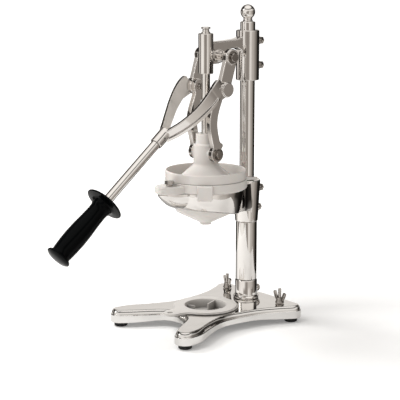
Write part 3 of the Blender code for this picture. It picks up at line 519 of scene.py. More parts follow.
CHROME = plated("look_chrome", light=(0.88, 0.855, 0.825), dark=(0.83, 0.80, 0.77),
                roughness=(0.03, 0.065), edge=0.0005, painted_rim_reflection=0.9)
CAST_LOOK = dict(light=(0.86, 0.83, 0.80), dark=(0.79, 0.76, 0.73), roughness=(0.035, 0.08),
                 edge=0.0012, wave=0.0012, painted_rim_reflection=0.8)
CAST_CHROME = plated("look_chrome_cast", **CAST_LOOK)
YOKE_CHROME = plated("look_chrome_yoke", brushed=True, **CAST_LOOK)
ALUMINIUM = plated("look_polished_aluminium", light=(0.83, 0.815, 0.795),
                   dark=(0.78, 0.765, 0.745), roughness=(0.022, 0.06), edge=0.0007,
                   wave=0.0003, grain=0.3)
# shade paints shade into the hollows of the white and grey plastics.
WHITE = moulded("look_white_plastic", light=(0.83, 0.79, 0.75), dark=(0.80, 0.76, 0.72),
                roughness=(0.20, 0.28), grain=0.012, subsurface=0.05, coat=0.15, shade=0.32)
GREY = moulded("look_grey_plastic", light=(0.72, 0.69, 0.655), dark=(0.68, 0.65, 0.615),
               roughness=(0.30, 0.42), grain=0.05, shade=0.95)
COLLAR_GREY = moulded("look_collar_plastic", light=(0.62, 0.61, 0.59), dark=(0.52, 0.51, 0.49),
                      roughness=(0.25, 0.4), grain=0.05, edge=0.0005)
BLACK = moulded("look_black_grip", light=(0.0012, 0.0016, 0.0018), dark=(0.002, 0.0025, 0.0028),
                roughness=(0.12, 0.18), grain=0.04, specular=0.05)
RUBBER = moulded("look_black_rubber", light=(0.012, 0.012, 0.012), dark=(0.024, 0.023, 0.022),
                 roughness=(0.62, 0.82), grain=0.3, specular=0.3)
STEEL = turned("look_fastener_steel", light=(0.40, 0.37, 0.34), dark=(0.22, 0.20, 0.185),
               roughness=(0.10, 0.20))
BRONZE = turned("look_bronze", light=(0.50, 0.34, 0.16), dark=(0.38, 0.25, 0.11),
                roughness=(0.3, 0.5))


def finish_node(ob, name, material):
    """Shades the fine shape and rides it on its node's body in place of the node."""
    mesh = ob.data
    mesh.transform(Matrix.Scale(0.001, 4) @ Matrix.Translation((0, SHIFT_Y, 0)))
    ob.name = name + "_fine"
    mesh.name = ob.name
    mesh.materials.clear()
    mesh.materials.append(material)
    for face in mesh.polygons:
        face.material_index = 0
    mesh.shade_smooth()
    mesh.set_sharp_from_angle(angle=math.radians(32))
    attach(ob, BODY[name])
    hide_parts(name)


def mirrored_pair(ob, stem, material):
    """The shape on the +X side and its mirror image on the -X side."""
    left = mirrored(ob)
    finish_node(ob, stem + "_right", material)
    finish_node(left, stem + "_left", material)


# ---------------------------------------------------------------- base and feet
def base_outline():
    """Skirt outline of the X-shaped base, counter-clockwise, symmetric in X."""
    # (x, y) keys of the waisted right side, then of the hollow between the front legs.
    side = smooth_curve([(91.0, -104), (87.6, -83), (72.5, -51), (61.5, -22), (59.6, 0),
                         (61.2, 18), (68.0, 55), (81.5, 87), (89.4, 100.2)], 8)
    front = smooth_curve([(0.0, -53.0), (16.0, -55.5), (29.0, -64.0), (41.0, -80.5),
                          (51.5, -97.0), (62.36, -112.2)], 8)
    front_tip = arc(FOOT_X, FOOT_FRONT_Y, LEG_RADIUS, 212, 360, 32)[1:-1]
    rear_tip = arc(FOOT_X, FOOT_REAR_Y, LEG_RADIUS, -26, 90, 24)[1:]
    rear = [(40.0, 123.6), (14.0, 124.4)]
    right = front + front_tip + side + rear_tip + rear
    left = [(-x, y) for x, y in reversed(right) if abs(x) > 1e-6]
    return evened(right + left, step=1.6)


def base_under(x, y):
    """Height of the arched underside: low at the feet, higher between them."""
    distance = min(math.hypot(abs(x) - FOOT_X, y - foot_y)
                   for foot_y in (FOOT_FRONT_Y, FOOT_REAR_Y))
    t = min(1.0, max(0.0, (distance - 14.0) / 60.0))
    return BASE_BOTTOM + 3.2 * t * t * (3 - 2 * t)


# (inset from the skirt, height); None follows the arched lower edge.
BASE_SECTION = [
    (7.0, 19.0), (7.0, None), (0.0, None), (0.0, BASE_EDGE - 0.4), (1.0, BASE_EDGE + 0.5),
    (1.7, BASE_EDGE + 3.2), (3.0, BASE_TOP - 1.4), (4.2, BASE_TOP - 0.3), (5.2, BASE_TOP),
    (6.0, BASE_TOP)]


def make_base():
    outline = base_outline()
    rings = []
    for inset, height in BASE_SECTION:
        points = offset(outline, inset) if inset else outline
        rings.append([(x, y, base_under(*edge) if height is None else height)
                      for (x, y), edge in zip(points, outline)])
    base = loft(rings)
    feet_y = (FOOT_FRONT_Y, FOOT_REAR_Y)
    union(base, *[upright(side * FOOT_X, y, 7.15, 21, LEG_RADIUS - 3.2)
                  for side in (-1, 1) for y in feet_y])
    union(base, upright(0, POST_Y, 10.5, 21, 20), upright(0, 0, 10.5, 21, 38))
    # Recess for the glass rest and bore for the post.
    cut(base, upright(0, 0, 12.0, 30, 33.9), upright(0, POST_Y, 12.0, 30, POST_BORE))
    for side in (-1, 1):
        cut(base, upright(side * STUD_X, STUD_Y, 10.0, 30, 2.9))
        for y in feet_y:
            cut(base, upright(side * FOOT_X, y, 0, 17.8, 2.6))
    cut(base, upright(0, 0, 0, 13, 3.0))
    finish_node(base, "base_casting", ALUMINIUM)


def make_feet():
    places = [(side * FOOT_X, y) for y in (FOOT_FRONT_Y, FOOT_REAR_Y) for side in (1, -1)]
    for number, (x, y) in enumerate(places, 1):
        place = Matrix.Translation((x, y, 0))
        foot = lathe([(5.2, 0), (FOOT_RADIUS - 1.6, 0), (FOOT_RADIUS - 0.5, 0.8),
                      (FOOT_RADIUS, FOOT_HEIGHT - 1.0), (FOOT_RADIUS - 0.6, FOOT_HEIGHT),
                      (2.7, FOOT_HEIGHT), (2.7, 3.4), (5.2, 3.4)], place=place, ring=True)
        finish_node(foot, "rubber_foot_%d" % number, RUBBER)
        screw = lathe([(0, 0.9), (4.0, 0.9), (4.6, 1.6), (4.6, 3.1), (2.3, 3.1), (2.3, 16.5),
                       (0, 16.5)], place=place)
        finish_node(screw, "foot_screw_%d" % number, STEEL)


# ---------------------------------------------------------------- glass rest
# Fins inside the recess: (direction in degrees, inner radius, top).
FINS = [(113, 8.0, 28.2), (203, 18.0, 25.0), (293, 20.0, 25.0), (23, 22.0, 26.2)]


def ring_outline():
    """The big circle about the plunger axis, concave necks and the narrow front tongue."""
    circle = arc(0, 0, RING_RADIUS, -52, 232, 110)
    neck = [(24.6, -43.2), (19.6, -46.8), (16.2, -51.2), (14.4, -57.5)]
    tongue = arc(0, TONGUE_Y, TONGUE_RADIUS, 180, 360, 40)
    return evened(circle + [(-x, y) for x, y in neck] + tongue + neck[::-1], step=1.2)


def make_glass_rest():
    outline = ring_outline()
    rest = prism(outline, 26.35, 28.3, chamfer=0.5)
    union(rest, prism(offset(outline, 1.7), 27.6, RING_TOP, chamfer=0.5),
          upright(0, 0, 14.2, 27.5, 33.4))
    hole = [(0, 16.0), (RING_HOLE - 1.0, 16.0), (RING_HOLE - 0.6, 26.0), (RING_HOLE + 0.2, 28.4),
            (RING_HOLE + 1.2, 31), (0, 31)]
    cut(rest, lathe(hole), upright(0, -69.5, 28.2, 31, 4.2, SMOOTH_SIDES))
    for degrees, inner, top in FINS:
        outer = RING_HOLE + 0.8
        fin = prism([(inner, -0.9), (outer, -0.9), (outer, 0.9), (inner, 0.9)], 15.0, top)
        fin.data.transform(Matrix.Rotation(math.radians(degrees), 4, "Z"))
        union(rest, fin)
    finish_node(rest, "glass_rest_ring", GREY)


# ---------------------------------------------------------------- post and its column
CLAMP_FLATS = 10.0              # clamp bolt head, across flats
CLAMP_HEAD = 5.2                # and its height


def clamp_bolt(name, z, face):
    """Hexagon bolt screwed towards the post from behind, with its washer face."""
    seat = POST_Y + face + GAP
    corner = CLAMP_FLATS / math.sqrt(3)
    washer = CLAMP_FLATS * 0.56
    # (radius, y, hexagonal)
    stations = [
        (2.9, POST_Y + POST_RADIUS + 0.8, False), (2.9, seat, False), (washer, seat, False),
        (washer, seat + 1.0, False), (corner * 0.97, seat + 1.0, True),
        (corner, seat + 1.3, True), (corner, seat + 0.4 + CLAMP_HEAD, True),
        (corner - 1.2, seat + 1.0 + CLAMP_HEAD, False)]
    bolt = loft([[(x, y, z + rise) for x, rise in screw_section(radius, hexagonal)]
                 for radius, y, hexagonal in stations])
    finish_node(bolt, name, STEEL)


def clamp_boss(z, start, end, radius, sides=None):
    """Round boss behind the post, start and end measured from the post axis."""
    return bar((0, POST_Y + start, z), (0, POST_Y + end, z), radius, sides)


def clamp_hole(z):
    return bar((0, POST_Y + 4, z), (0, 130.0, z), 3.25)


def make_column():
    """Clamping socket on the base with its bolt, lower column and post."""
    socket = lathe([(POST_BORE, 26.35), (18.9, 26.35), (19.6, 27.2), (19.6, 29.6), (18.7, 30.8),
                    (17.3, 31.4), (17.0, 33.0), (17.0, 54.6), (16.2, 56.0), (POST_BORE, 56.0)],
                   place=POST_AXIS, ring=True)
    union(socket, clamp_boss(SOCKET_BOLT_Z, 13.5, SOCKET_BOLT_FACE, 7.2))
    cut(socket, clamp_hole(SOCKET_BOLT_Z))
    finish_node(socket, "column_socket", CHROME)
    clamp_bolt("socket_bolt", SOCKET_BOLT_Z, SOCKET_BOLT_FACE)

    finish_node(tube((0, POST_Y, 56.4), (0, POST_Y, 147.8), outer=16.2, inner=POST_BORE,
                     chamfer=0.6), "lower_column", CHROME)

    post = lathe([(0, 12.4), (POST_RADIUS - 0.6, 12.4), (POST_RADIUS, 13.0),
                  (POST_RADIUS, POST_TOP - 0.8), (POST_RADIUS - 0.8, POST_TOP), (4.3, POST_TOP),
                  (4.3, 440), (0, 440)], place=POST_AXIS)
    finish_node(post, "post", CHROME)


def make_ball():
    radius, centre, steps = 11.0, 466.5, 32
    start = math.asin(6.9 / radius)     # where the ball leaves its neck
    seat = POST_TOP + GAP
    profile = [(0, 440.4), (3.95, 440.4), (3.95, seat), (7.7, seat), (7.7, POST_TOP + 1.4),
               (6.7, POST_TOP + 2.4), (6.6, POST_TOP + 5.2)]
    angles = [start + (math.pi - start) * i / steps for i in range(steps)]
    profile += [(radius * math.sin(a), centre - radius * math.cos(a)) for a in angles]
    finish_node(lathe(profile + [(0, centre + radius)], place=POST_AXIS), "ball_finial", CHROME)


# ---------------------------------------------------------------- bowl holder
HOLDER_PROFILE = [              # (radius, z)
    (54.3, 210.0), (56.6, 210.0), (57.4, 208.6), (57.2, 205.0), (55.6, 196.5), (53.0, 188.0),
    (50.6, 182.8), (49.2, 182.0), (47.3, 182.6), (49.9, 188.0), (52.5, 196.5), (54.0, 205.0)]
HOLDER_INSIDE = [               # (radius, z)
    (0, 160.0), (47.0, 160.0), (47.0, 182.4), (49.6, 188.0), (52.2, 196.5), (53.7, 205.0),
    (54.0, 214.0), (0, 214.0)]
# The ring's lower edge falls towards the post: (y, rise).
LOWER_EDGE = [(-60.0, 3.2), (-40.0, 1.8), (-20.0, -0.3), (0.0, -4.0), (15.0, -7.5),
              (32.0, -10.0), (60.0, -12.0)]
# Rear arm: (y, half width above, side's lower z, half width at the bottom, bottom z).
ARM_KEYS = [
    (36.0, 41.5, 179.0, 34.5, 172.6), (46.0, 33.5, 177.0, 28.5, 171.0),
    (53.0, 28.3, 176.0, 24.5, 170.0), (60.0, 24.0, 175.0, 20.5, 169.0),
    (68.0, 20.5, 173.5, 17.5, 167.5), (80.0, 17.6, 171.0, 15.0, 165.5)]
# Front keel: (y, half width, bottom z).
KEEL_KEYS = [
    (-41.0, 34.0, 184.6), (-48.0, 27.0, 184.8), (-56.0, 21.5, 185.6), (-64.0, 18.0, 187.6),
    (-72.0, 15.0, 191.4), (-80.0, 11.6, 197.8), (-86.0, 7.4, 204.0), (-88.6, 3.0, 207.8)]
ARM_TOP, KEEL_TOP = 209.4, 209.6


def slope_lower_edge(ob):
    for vertex in ob.data.vertices:
        share = min(1.0, max(0.0, (196.5 - vertex.co.z) / 14.0))
        y = vertex.co.y
        k = next(i for i in range(len(LOWER_EDGE) - 1) if y <= LOWER_EDGE[i + 1][0])
        (y0, rise0), (y1, rise1) = LOWER_EDGE[k], LOWER_EDGE[k + 1]
        vertex.co.z += share * (rise0 + (rise1 - rise0) * (y - y0) / (y1 - y0))


def make_bowl_holder():
    holder = lathe(HOLDER_PROFILE, ring=True)
    slope_lower_edge(holder)
    arm = loft([[(-wide, y, side_z), (-narrow, y, bottom), (narrow, y, bottom),
                 (wide, y, side_z), (wide, y, ARM_TOP), (-wide, y, ARM_TOP)]
                for y, wide, side_z, narrow, bottom in smooth_curve(ARM_KEYS, 5)])
    # The keel is a boat-shaped fairing that carries the bolt of the cup.
    angles = [math.pi * (1 + i / 24) for i in range(25)]
    keel = loft([[(half * math.cos(a), y, KEEL_TOP + (KEEL_TOP - bottom) * math.sin(a))
                  for a in angles]
                 for y, half, bottom in smooth_curve(KEEL_KEYS, 5)])
    sleeve = lathe([(0, 148.2), (16.6, 148.2), (17.3, 149.0), (18.2, 162.0), (19.6, 190.0),
                    (21.0, 211.6), (20.2, 212.8), (0, 212.8)], place=POST_AXIS)
    union(holder, arm, keel, sleeve,
          clamp_boss(BOWL_UPPER_Z, 12, 22.0, 7.2),
          clamp_boss(BOWL_LOWER_Z, 12, BOWL_LOWER_FACE, 7.2),
          clamp_boss(BOWL_UPPER_Z, 14, BOWL_UPPER_FACE, 5.0, SMOOTH_SIDES))
    cut(holder, lathe(HOLDER_INSIDE), upright(0, POST_Y, 140, 220, POST_BORE),
        clamp_hole(BOWL_UPPER_Z), clamp_hole(BOWL_LOWER_Z),
        upright(0, CUP_BOLT_Y, 193.5, 214, 3.3))
    finish_node(holder, "bowl_holder", CAST_CHROME)
    clamp_bolt("bowl_bolt_upper", BOWL_UPPER_Z, BOWL_UPPER_FACE)
    clamp_bolt("bowl_bolt_lower", BOWL_LOWER_Z, BOWL_LOWER_FACE)


# ---------------------------------------------------------------- funnel cup
CUP_OUTSIDE = [                 # (radius, z)
    (0, 154.6), (8.1, 154.6), (8.4, 157.2), (43.0, 174.6), (45.9, 178.6), (46.6, 182.2),
    (49.2, 188.0), (51.8, 196.5), (53.3, 205.0), (53.6, 210.35), (60.4, 210.35), (61.5, 211.6),
    (61.5, 222.9), (60.9, 223.7), (0, 223.7)]
CUP_INSIDE = [                  # (radius, z)
    (0, 150.0), (5.9, 150.0), (5.9, 157.5), (10.0, 160.2), (40.0, 176.0), (43.2, 180.0),
    (46.4, 188.0), (48.8, 196.5), (50.3, 205.0), (50.5, 212.6), (59.4, 214.5), (59.4, 230.0),
    (0, 230.0)]
TAB_KEYS = [                    # (z, half width at the cup, half width outside, end set back)
    (201.0, 9.8, 9.3, 1.6), (202.5, 11.2, 10.6, 0.0), (222.0, 11.7, 11.2, 0.0),
    (223.4, 11.2, 10.6, 1.2)]
EAR_OUTLINE = [                 # (x, y) of the forked rear ear that reaches round the post
    (-15.0, 57.0), (15.0, 57.0), (15.0, 70.0), (19.0, 88.0), (15.5, 90.5), (12.6, 83.0),
    (11.9, 77.0), (8.5, 74.0), (4.0, 71.6), (-4.0, 71.6), (-8.5, 74.0), (-11.9, 77.0),
    (-12.6, 83.0), (-15.5, 90.5), (-19.0, 88.0), (-15.0, 70.0)]


def make_funnel_cup():
    cup = lathe(CUP_OUTSIDE)
    lug_radius = 20.8
    lug = prism(arc(0, CUP_BOLT_Y, lug_radius, 180, 360, 40)
                + [(lug_radius, -52.5), (-lug_radius, -52.5)], 210.4, 220.6, chamfer=0.8)
    tab = loft([[(59.5, -root, z), (66.5 - back, -tip, z), (66.5 - back, tip, z), (59.5, root, z)]
                for z, root, tip, back in TAB_KEYS])
    tab.data.transform(Matrix.Rotation(math.radians(-42), 4, "Z"))
    ear = prism(EAR_OUTLINE, 213.6, 218.2, chamfer=0.8)
    union(cup, union(lug, ear, tab))
    cut(cup, lathe(CUP_INSIDE), upright(0, POST_Y, 190, 240, POST_RADIUS + 0.6),
        upright(0, CUP_BOLT_Y, 200, 230, 3.3))
    finish_node(cup, "funnel_cup", WHITE)


# ---------------------------------------------------------------- strainer basket
BASKET_WALL = [                 # (radius, z) from the dome's outer foot round to its inner foot
    (33.0, 208.6), (47.2, 207.8), (48.6, 215.2), (56.4, 216.6), (58.0, 236.8), (59.0, 238.0),
    (60.2, 236.6), (60.1, 224.3), (59.0, 224.1), (59.0, 215.2), (50.0, 213.4), (49.3, 206.2),
    (33.0, 206.4), (29.0, 207.4)]


def make_basket():
    """Slotted basket with the reamer dome."""
    def dome(radius, foot, height, angles):
        return [(radius * math.cos(math.radians(a)), foot + height * math.sin(math.radians(a)))
                for a in angles]

    basket = lathe([(0, 232.0)] + dome(30.0, 210.0, 22.0, range(84, -1, -6)) + BASKET_WALL
                   + dome(27.6, 208.0, 21.0, range(6, 90, 6)) + [(0, 229.0)])
    slots = 24
    for i in range(slots):
        slot = prism([(35.5, -1.1), (46.5, -1.1), (46.5, 1.1), (35.5, 1.1)], 200, 212)
        slot.data.transform(Matrix.Rotation(math.radians(360 / slots * (i + 0.5)), 4, "Z"))
        cut(basket, slot)
    finish_node(basket, "strainer_basket", WHITE)


def make_cup_bolt():
    seat, height, chamfer = 223.4, 5.0, 0.8
    corner = 12.2 / math.sqrt(3)        # 12.2 across flats
    profile = [(0, 0), (corner, 0), (corner, height - chamfer),
               (corner - 1.3 * chamfer, height), (0, height)]
    bolt = lathe(profile, 6, frame_to((0, CUP_BOLT_Y, seat), (0, CUP_BOLT_Y, seat + height)))
    union(bolt, upright(0, CUP_BOLT_Y, 221.0, 224.6, 5.0),
          upright(0, CUP_BOLT_Y, 194.5, 222, 2.9))
    finish_node(bolt, "cup_bolt", STEEL)


# ---------------------------------------------------------------- plunger
BELL_OUTSIDE = [                # (radius, z)
    (0, 291.6), (13.9, 291.6), (14.8, 290.6), (14.8, 277.4), (15.6, 276.4), (17.6, 275.8),
    (18.3, 274.8), (18.3, 248.0), (18.6, 246.0), (20.0, 243.8), (36.8, 229.0), (45.2, 222.2),
    (46.7, 219.8), (46.4, 218.4), (0, 218.4)]
BELL_INSIDE = [                 # (radius, z)
    (0, 300.0), (ROD_RADIUS + GAP, 300.0), (ROD_RADIUS + GAP, 240.0), (20.0, 238.0),
    (34.6, 226.2), (44.0, 219.0), (44.4, 210.0), (0, 210.0)]


def make_plunger():
    bell = union(lathe(BELL_OUTSIDE), crossbar(-18.3, 18.3, BELL_PIVOT, 11.0, chamfer=0.6))
    cut(bell, lathe(BELL_INSIDE), crossbar(-20, 20, BELL_PIVOT, PRESS_BORE))
    finish_node(bell, "press_bell", WHITE)

    rod = lathe([(0, 254.0), (ROD_RADIUS - 0.5, 254.0), (ROD_RADIUS, 254.6),
                 (ROD_RADIUS, ROD_TOP - 0.4), (5.0, ROD_TOP), (5.0, 443.6), (0, 443.6)],
                SMOOTH_SIDES)
    cut(rod, crossbar(-20, 20, BELL_PIVOT, PRESS_BORE))
    finish_node(rod, "plunger_rod", CHROME)

    button = lathe([(0, 443.95), (4.9, 443.95), (4.9, 444.7), (6.3, 444.9), (6.9, 445.4),
                    (6.9, 446.8), (6.3, 447.4), (0, 447.4)], SMOOTH_SIDES)
    finish_node(button, "stop_button", CHROME)


# ---------------------------------------------------------------- head casting
BEAM_OUTLINE = [                # (y, z) of the web between guide and head
    (4.0, 393.0), (20.0, 393.5), (27.0, 396.0), (31.5, 401.0), (36.0, 409.5), (44.0, 414.2),
    (56.0, 414.8), (64.0, 411.0), (69.0, 401.0), (72.0, 388.0), (76.0, 380.0), (76.0, 431.0),
    (66.0, 430.0), (56.0, 427.6), (30.0, 426.0), (4.0, 425.5)]
CROSS_PROFILE = [               # (distance from the middle plane, radius) of the pivot hub
    (27.0, 8.4), (26.4, 9.0), (24.0, 8.4), (20.5, 7.2), (16.5, 7.4), (12.0, 8.6), (8.0, 9.8)]


def sleeve_profile(bottom, top, radius, chamfer):
    return [(0, bottom), (radius - chamfer, bottom), (radius, bottom + chamfer),
            (radius, top - chamfer), (radius - chamfer, top), (0, top)]


def make_head():
    head = lathe(sleeve_profile(HEAD_BOTTOM, HEAD_TOP, HEAD_RADIUS, 0.8), place=POST_AXIS)
    guide = lathe(sleeve_profile(GUIDE_BOTTOM, GUIDE_TOP, GUIDE_RADIUS, 0.6))
    beam = prism(BEAM_OUTLINE, -7.0, 7.0, "X", 1.2)
    hub = lathe([(0, -27.0)] + [(radius, -x) for x, radius in CROSS_PROFILE]
                + [(radius, x) for x, radius in reversed(CROSS_PROFILE)] + [(0, 27.0)],
                place=across(TOP_PIVOT))
    union(head, beam, guide, hub)
    union(head, *[clamp_boss(z, 12, 19.0, 7.0) for z in HEAD_BOLT_ZS])
    union(head, *[clamp_boss(z, 14, HEAD_BOLT_FACE, 5.0, SMOOTH_SIDES) for z in HEAD_BOLT_ZS])
    cut(head, upright(0, POST_Y, 360, 445, POST_BORE), upright(0, 0, 375, 445, 7.9, SMOOTH_SIDES),
        crossbar(-30, 30, TOP_PIVOT, TOP_PIVOT_BORE), *[clamp_hole(z) for z in HEAD_BOLT_ZS])
    finish_node(head, "head_casting", CAST_CHROME)
    for level, z in zip(("upper", "lower"), HEAD_BOLT_ZS):
        clamp_bolt("head_bolt_" + level, z, HEAD_BOLT_FACE)

    bush = tube((0, 0, GUIDE_BOTTOM + 0.2), (0, 0, GUIDE_TOP - 0.2), outer=7.55,
                inner=ROD_RADIUS + GAP, sides=SMOOTH_SIDES)
    finish_node(bush, "guide_bush", BRONZE)


# ---------------------------------------------------------------- links and pivots
def pivot_screws(name, pivot, face, washer, head, shank, shank_x, hexagonal=False):
    """Pair of screws along X on the outer face of a link; washer, head and shank are radii."""
    seat = face + GAP
    height = 6.0
    # (radius, x, hexagonal)
    stations = [
        (shank, shank_x, False), (shank, seat, False), (washer, seat, False),
        (washer, seat + 1.15, False), (head, seat + 1.15, hexagonal),
        (head, face + height - 0.7, hexagonal),
        (head - (1.3 if hexagonal else 0.8), face + height, False)]
    screw = loft([[(x, pivot[0] + y, pivot[1] + z) for y, z in screw_section(radius, six)]
                  for radius, x, six in stations])
    mirrored_pair(screw, name, STEEL)


def link_plate(start, end, start_radius, end_radius, faces, waist, bow=0.0, steps=32, nose=()):
    """Flat link with eyes at two pivots, waist its least half width.

    It bows towards -Y, and nose replaces part of its +Y edge above the start.
    """
    start, end = Vector(start), Vector(end)
    length = (end - start).length
    forward = (end - start).normalized()
    side = Vector((-forward.y, forward.x))      # towards -Y
    if side.x > 0:
        side = -side
    eye_steps = 24
    stations = [-start_radius * math.cos(math.pi * 0.5 * i / eye_steps)
                for i in range(eye_steps)]
    stations += [length * i / steps for i in range(steps + 1)]
    stations += [length + end_radius * math.sin(math.pi * 0.5 * (i + 1) / eye_steps)
                 for i in range(eye_steps)]
    front, rear = [], []
    nose_points = list(nose)
    for s in stations:
        half = max(math.sqrt(max(0.0, start_radius * start_radius - s * s)),
                   math.sqrt(max(0.0, end_radius * end_radius - (s - length) ** 2)),
                   waist if 0 <= s <= length else 0.0)
        t = min(1.0, max(0.0, s / length))
        shift = bow * math.sin(math.pi * t) ** 1.8
        centre = start + forward * s + side * shift
        front.append(tuple(centre + side * half))
        if nose and 8.8 < s < 18.4:
            rear += nose_points
            nose_points = []
        elif half > 1e-4:
            rear.append(tuple(centre - side * half))
    outline = front + rear[::-1]
    if forward.y > 0:                           # an upward link comes out clockwise
        outline.reverse()
    return prism(outline, *faces, "X", 0.7)


def make_links():
    upper = link_plate(TOP_PIVOT, KNEE_PIVOT, 12.0, 12.2, UPPER_LINK, waist=10.6)
    face = UPPER_LINK[1]
    union(upper, tube((face - 1.0, *TOP_PIVOT), (face + 1.9, *TOP_PIVOT), outer=11.0, inner=8.9,
                      chamfer=0.4))
    cut(upper, crossbar(20, 40, TOP_PIVOT, TOP_PIVOT_BORE),
        crossbar(20, 40, KNEE_PIVOT, PIVOT_BORE))
    mirrored_pair(upper, "upper_link", CAST_CHROME)

    nose = smooth_curve([(8.2, 270.4), (9.9, 272.6), (10.7, 275.2), (9.2, 277.8), (6.4, 279.6),
                         (4.7, 281.6)], 5)      # (y, z)
    lower = link_plate(BELL_PIVOT, KNEE_PIVOT, 11.5, 11.5, LOWER_LINK, waist=7.4, bow=10.5,
                       steps=192, nose=nose)
    cut(lower, crossbar(10, 30, BELL_PIVOT, PIVOT_BORE), crossbar(10, 30, KNEE_PIVOT, PIVOT_BORE))
    mirrored_pair(lower, "lower_link", CAST_CHROME)


def make_knee():
    """The pins belong to the lever, the stubs to the lower links."""
    seat = YOKE_BOSS[1] + GAP
    pin = lathe([(0, 27.9), (4.4, 27.9), (4.4, seat), (10.2, seat), (10.2, YOKE_BOSS[1] + 1.3),
                 (9.6, YOKE_BOSS[1] + 1.8), (0, YOKE_BOSS[1] + 1.8)], place=across(KNEE_PIVOT))
    mirrored_pair(pin, "knee_pin", CHROME)
    stub = lathe([(0, 15.4), (4.6, 15.4), (5.4, 16.0), (5.4, 18.3), (4.3, 18.3), (4.3, 26.7),
                  (0, 26.7)], SMOOTH_SIDES, across(KNEE_PIVOT))
    mirrored_pair(stub, "knee_stub", STEEL)


# ---------------------------------------------------------------- lever
SET_SCREW_S = -13.0             # along the handle axis

# Right yoke arm: (along the handle axis, x, up from the axis, half height, thickness).
YOKE_KEYS = [
    (-16.0, 3.5, -1.5, 7.0, 5.5), (-28.0, 10.5, -2.6, 8.0, 5.5), (-42.0, 19.0, -3.2, 8.4, 5.2),
    (-60.0, 28.0, -2.2, 9.0, 5.2), (-78.0, 34.8, 0.2, 9.8, 5.2), (-96.0, 38.4, 3.0, 11.0, 5.6),
    (-108.0, 38.7, 4.9, 11.3, 5.7), (-116.0, 38.2, 6.8, 10.2, 5.6),
    (-121.5, 37.6, 8.2, 8.2, 5.2), (-124.2, 37.2, 8.8, 5.2, 4.6)]
GRIP_PROFILE = [                # (radius, distance from the inner end)
    (7.4, 0.0), (12.0, 0.0), (27.4, 0.9), (28.9, 2.0), (29.0, 3.2), (28.0, 4.0), (20.0, 4.9),
    (16.8, 5.5), (15.5, 6.6), (15.2, 10.0), (14.8, 12.2), (14.0, 13.6), (13.6, 20.0),
    (14.2, 34.0), (15.5, 52.0), (16.0, 68.0), (15.6, 82.0), (14.8, 94.0), (14.3, 99.0),
    (15.0, 101.4), (17.6, 102.6), (18.5, 104.0), (18.4, 105.2), (16.4, 106.6), (9.0, 108.0),
    (0, 108.4), (0, 106.0), (7.4, 106.0)]


def along(s, up=0.0, x=0.0):
    """Point s outwards from the socket end along the handle axis."""
    return SOCKET_END + HANDLE_OUT * s + HANDLE_UP * up + Vector((x, 0, 0))


def yoke_arm():
    """Channel-section strap that bows out from the socket to the knee boss."""
    stations = smooth_curve(YOKE_KEYS, 6)
    rings = []
    for i, (s, x, up, high, thick) in enumerate(stations):
        s_before, x_before = stations[max(i - 1, 0)][:2]
        s_after, x_after = stations[min(i + 1, len(stations) - 1)][:2]
        course = Vector((x_after - x_before, 0, 0)) + HANDLE_OUT * (s_after - s_before)
        course.normalize()
        side = Vector((1, 0, 0)) - course * course.x
        side.normalize()
        centre = along(s, up, x)
        half = thick / 2
        # (up, sideways): with a lower lip, or nearly flat at the knee.
        if s < -103.0:
            section = [(-high, -half), (-high, half), (-high + 4.2, half),
                       (-high + 5.0, half - 0.1), (high - 0.8, half - 0.1),
                       (high, half - 0.8), (high, -half)]
        else:
            section = [(-high, -half), (-high, half + 2.2), (-high + 4.2, half + 2.2),
                       (-high + 5.0, half - 0.6), (high - 0.8, half - 0.6),
                       (high, half - 1.4), (high, -half)]
        rings.append([tuple(centre + HANDLE_UP * a + side * b) for a, b in section])
    return loft(rings)


def make_yoke():
    knee_y, knee_z = KNEE_PIVOT
    upper, lower = along(-113.0, 3.0), along(-100.0, -5.0)
    web = prism([(knee_y + 4, knee_z + 9), (upper.y, upper.z + 4), (lower.y, lower.z + 4),
                 (lower.y + 1, lower.z - 3), (knee_y - 2, knee_z - 10)],
                YOKE_BOSS[0] + 0.15, 41.25, "X")
    right = union(yoke_arm(), web, crossbar(*YOKE_BOSS, KNEE_PIVOT, 11.2, chamfer=0.6))
    left = mirrored(right)
    yoke = union(bar(along(-26.0), along(0.0), 9.3, chamfer=0.6), right, left)
    cut(yoke, bar(along(-21.0), along(5.0), 7.45, SMOOTH_SIDES))
    # The arm ends run past the knee with clearance to the upper links.
    clearance = link_plate(TOP_PIVOT, KNEE_PIVOT, 12.5, 12.6,
                           (UPPER_LINK[0] - 0.6, UPPER_LINK[1] + GAP), waist=11.1)
    cut(yoke, mirrored(clearance), clearance)
    for side in (-1, 1):
        cut(yoke, crossbar(side * 30, side * 48, KNEE_PIVOT, PIVOT_BORE))
    cut(yoke, bar(along(SET_SCREW_S), along(SET_SCREW_S, x=14), 1.9, 12))
    finish_node(yoke, "yoke", YOKE_CHROME)

    screw = bar(along(SET_SCREW_S, x=7.75), along(SET_SCREW_S, x=9.2), 1.55, 12)
    finish_node(screw, "handle_set_screw", STEEL)


def make_handle():
    handle = lathe([(0, 0), (6.9, 0), (7.1, 0.3), (7.1, 232.0), (0, 232.0)], SMOOTH_SIDES,
                   frame_to(along(-20.6), along(10)))
    finish_node(handle, "handle_tube", CHROME)
    collar = lathe([(7.4, 0), (9.6, 0), (10.2, 0.6), (10.2, 3.0), (7.4, 3.0)],
                   place=frame_to(along(113.4), along(140)), ring=True)
    finish_node(collar, "grip_collar", COLLAR_GREY)
    grip = lathe(GRIP_PROFILE, place=frame_to(along(116.8), along(300)), ring=True)
    finish_node(grip, "grip", BLACK)


# ---------------------------------------------------------------- studs and wing nuts
WING_OUTLINE = [                # (x, z) of the right wing
    (3.9, 2.0), (7.5, 3.6), (11.2, 8.6), (13.8, 14.6), (13.2, 16.6), (9.4, 17.2), (7.8, 13.8),
    (6.0, 10.0), (3.9, 7.6)]


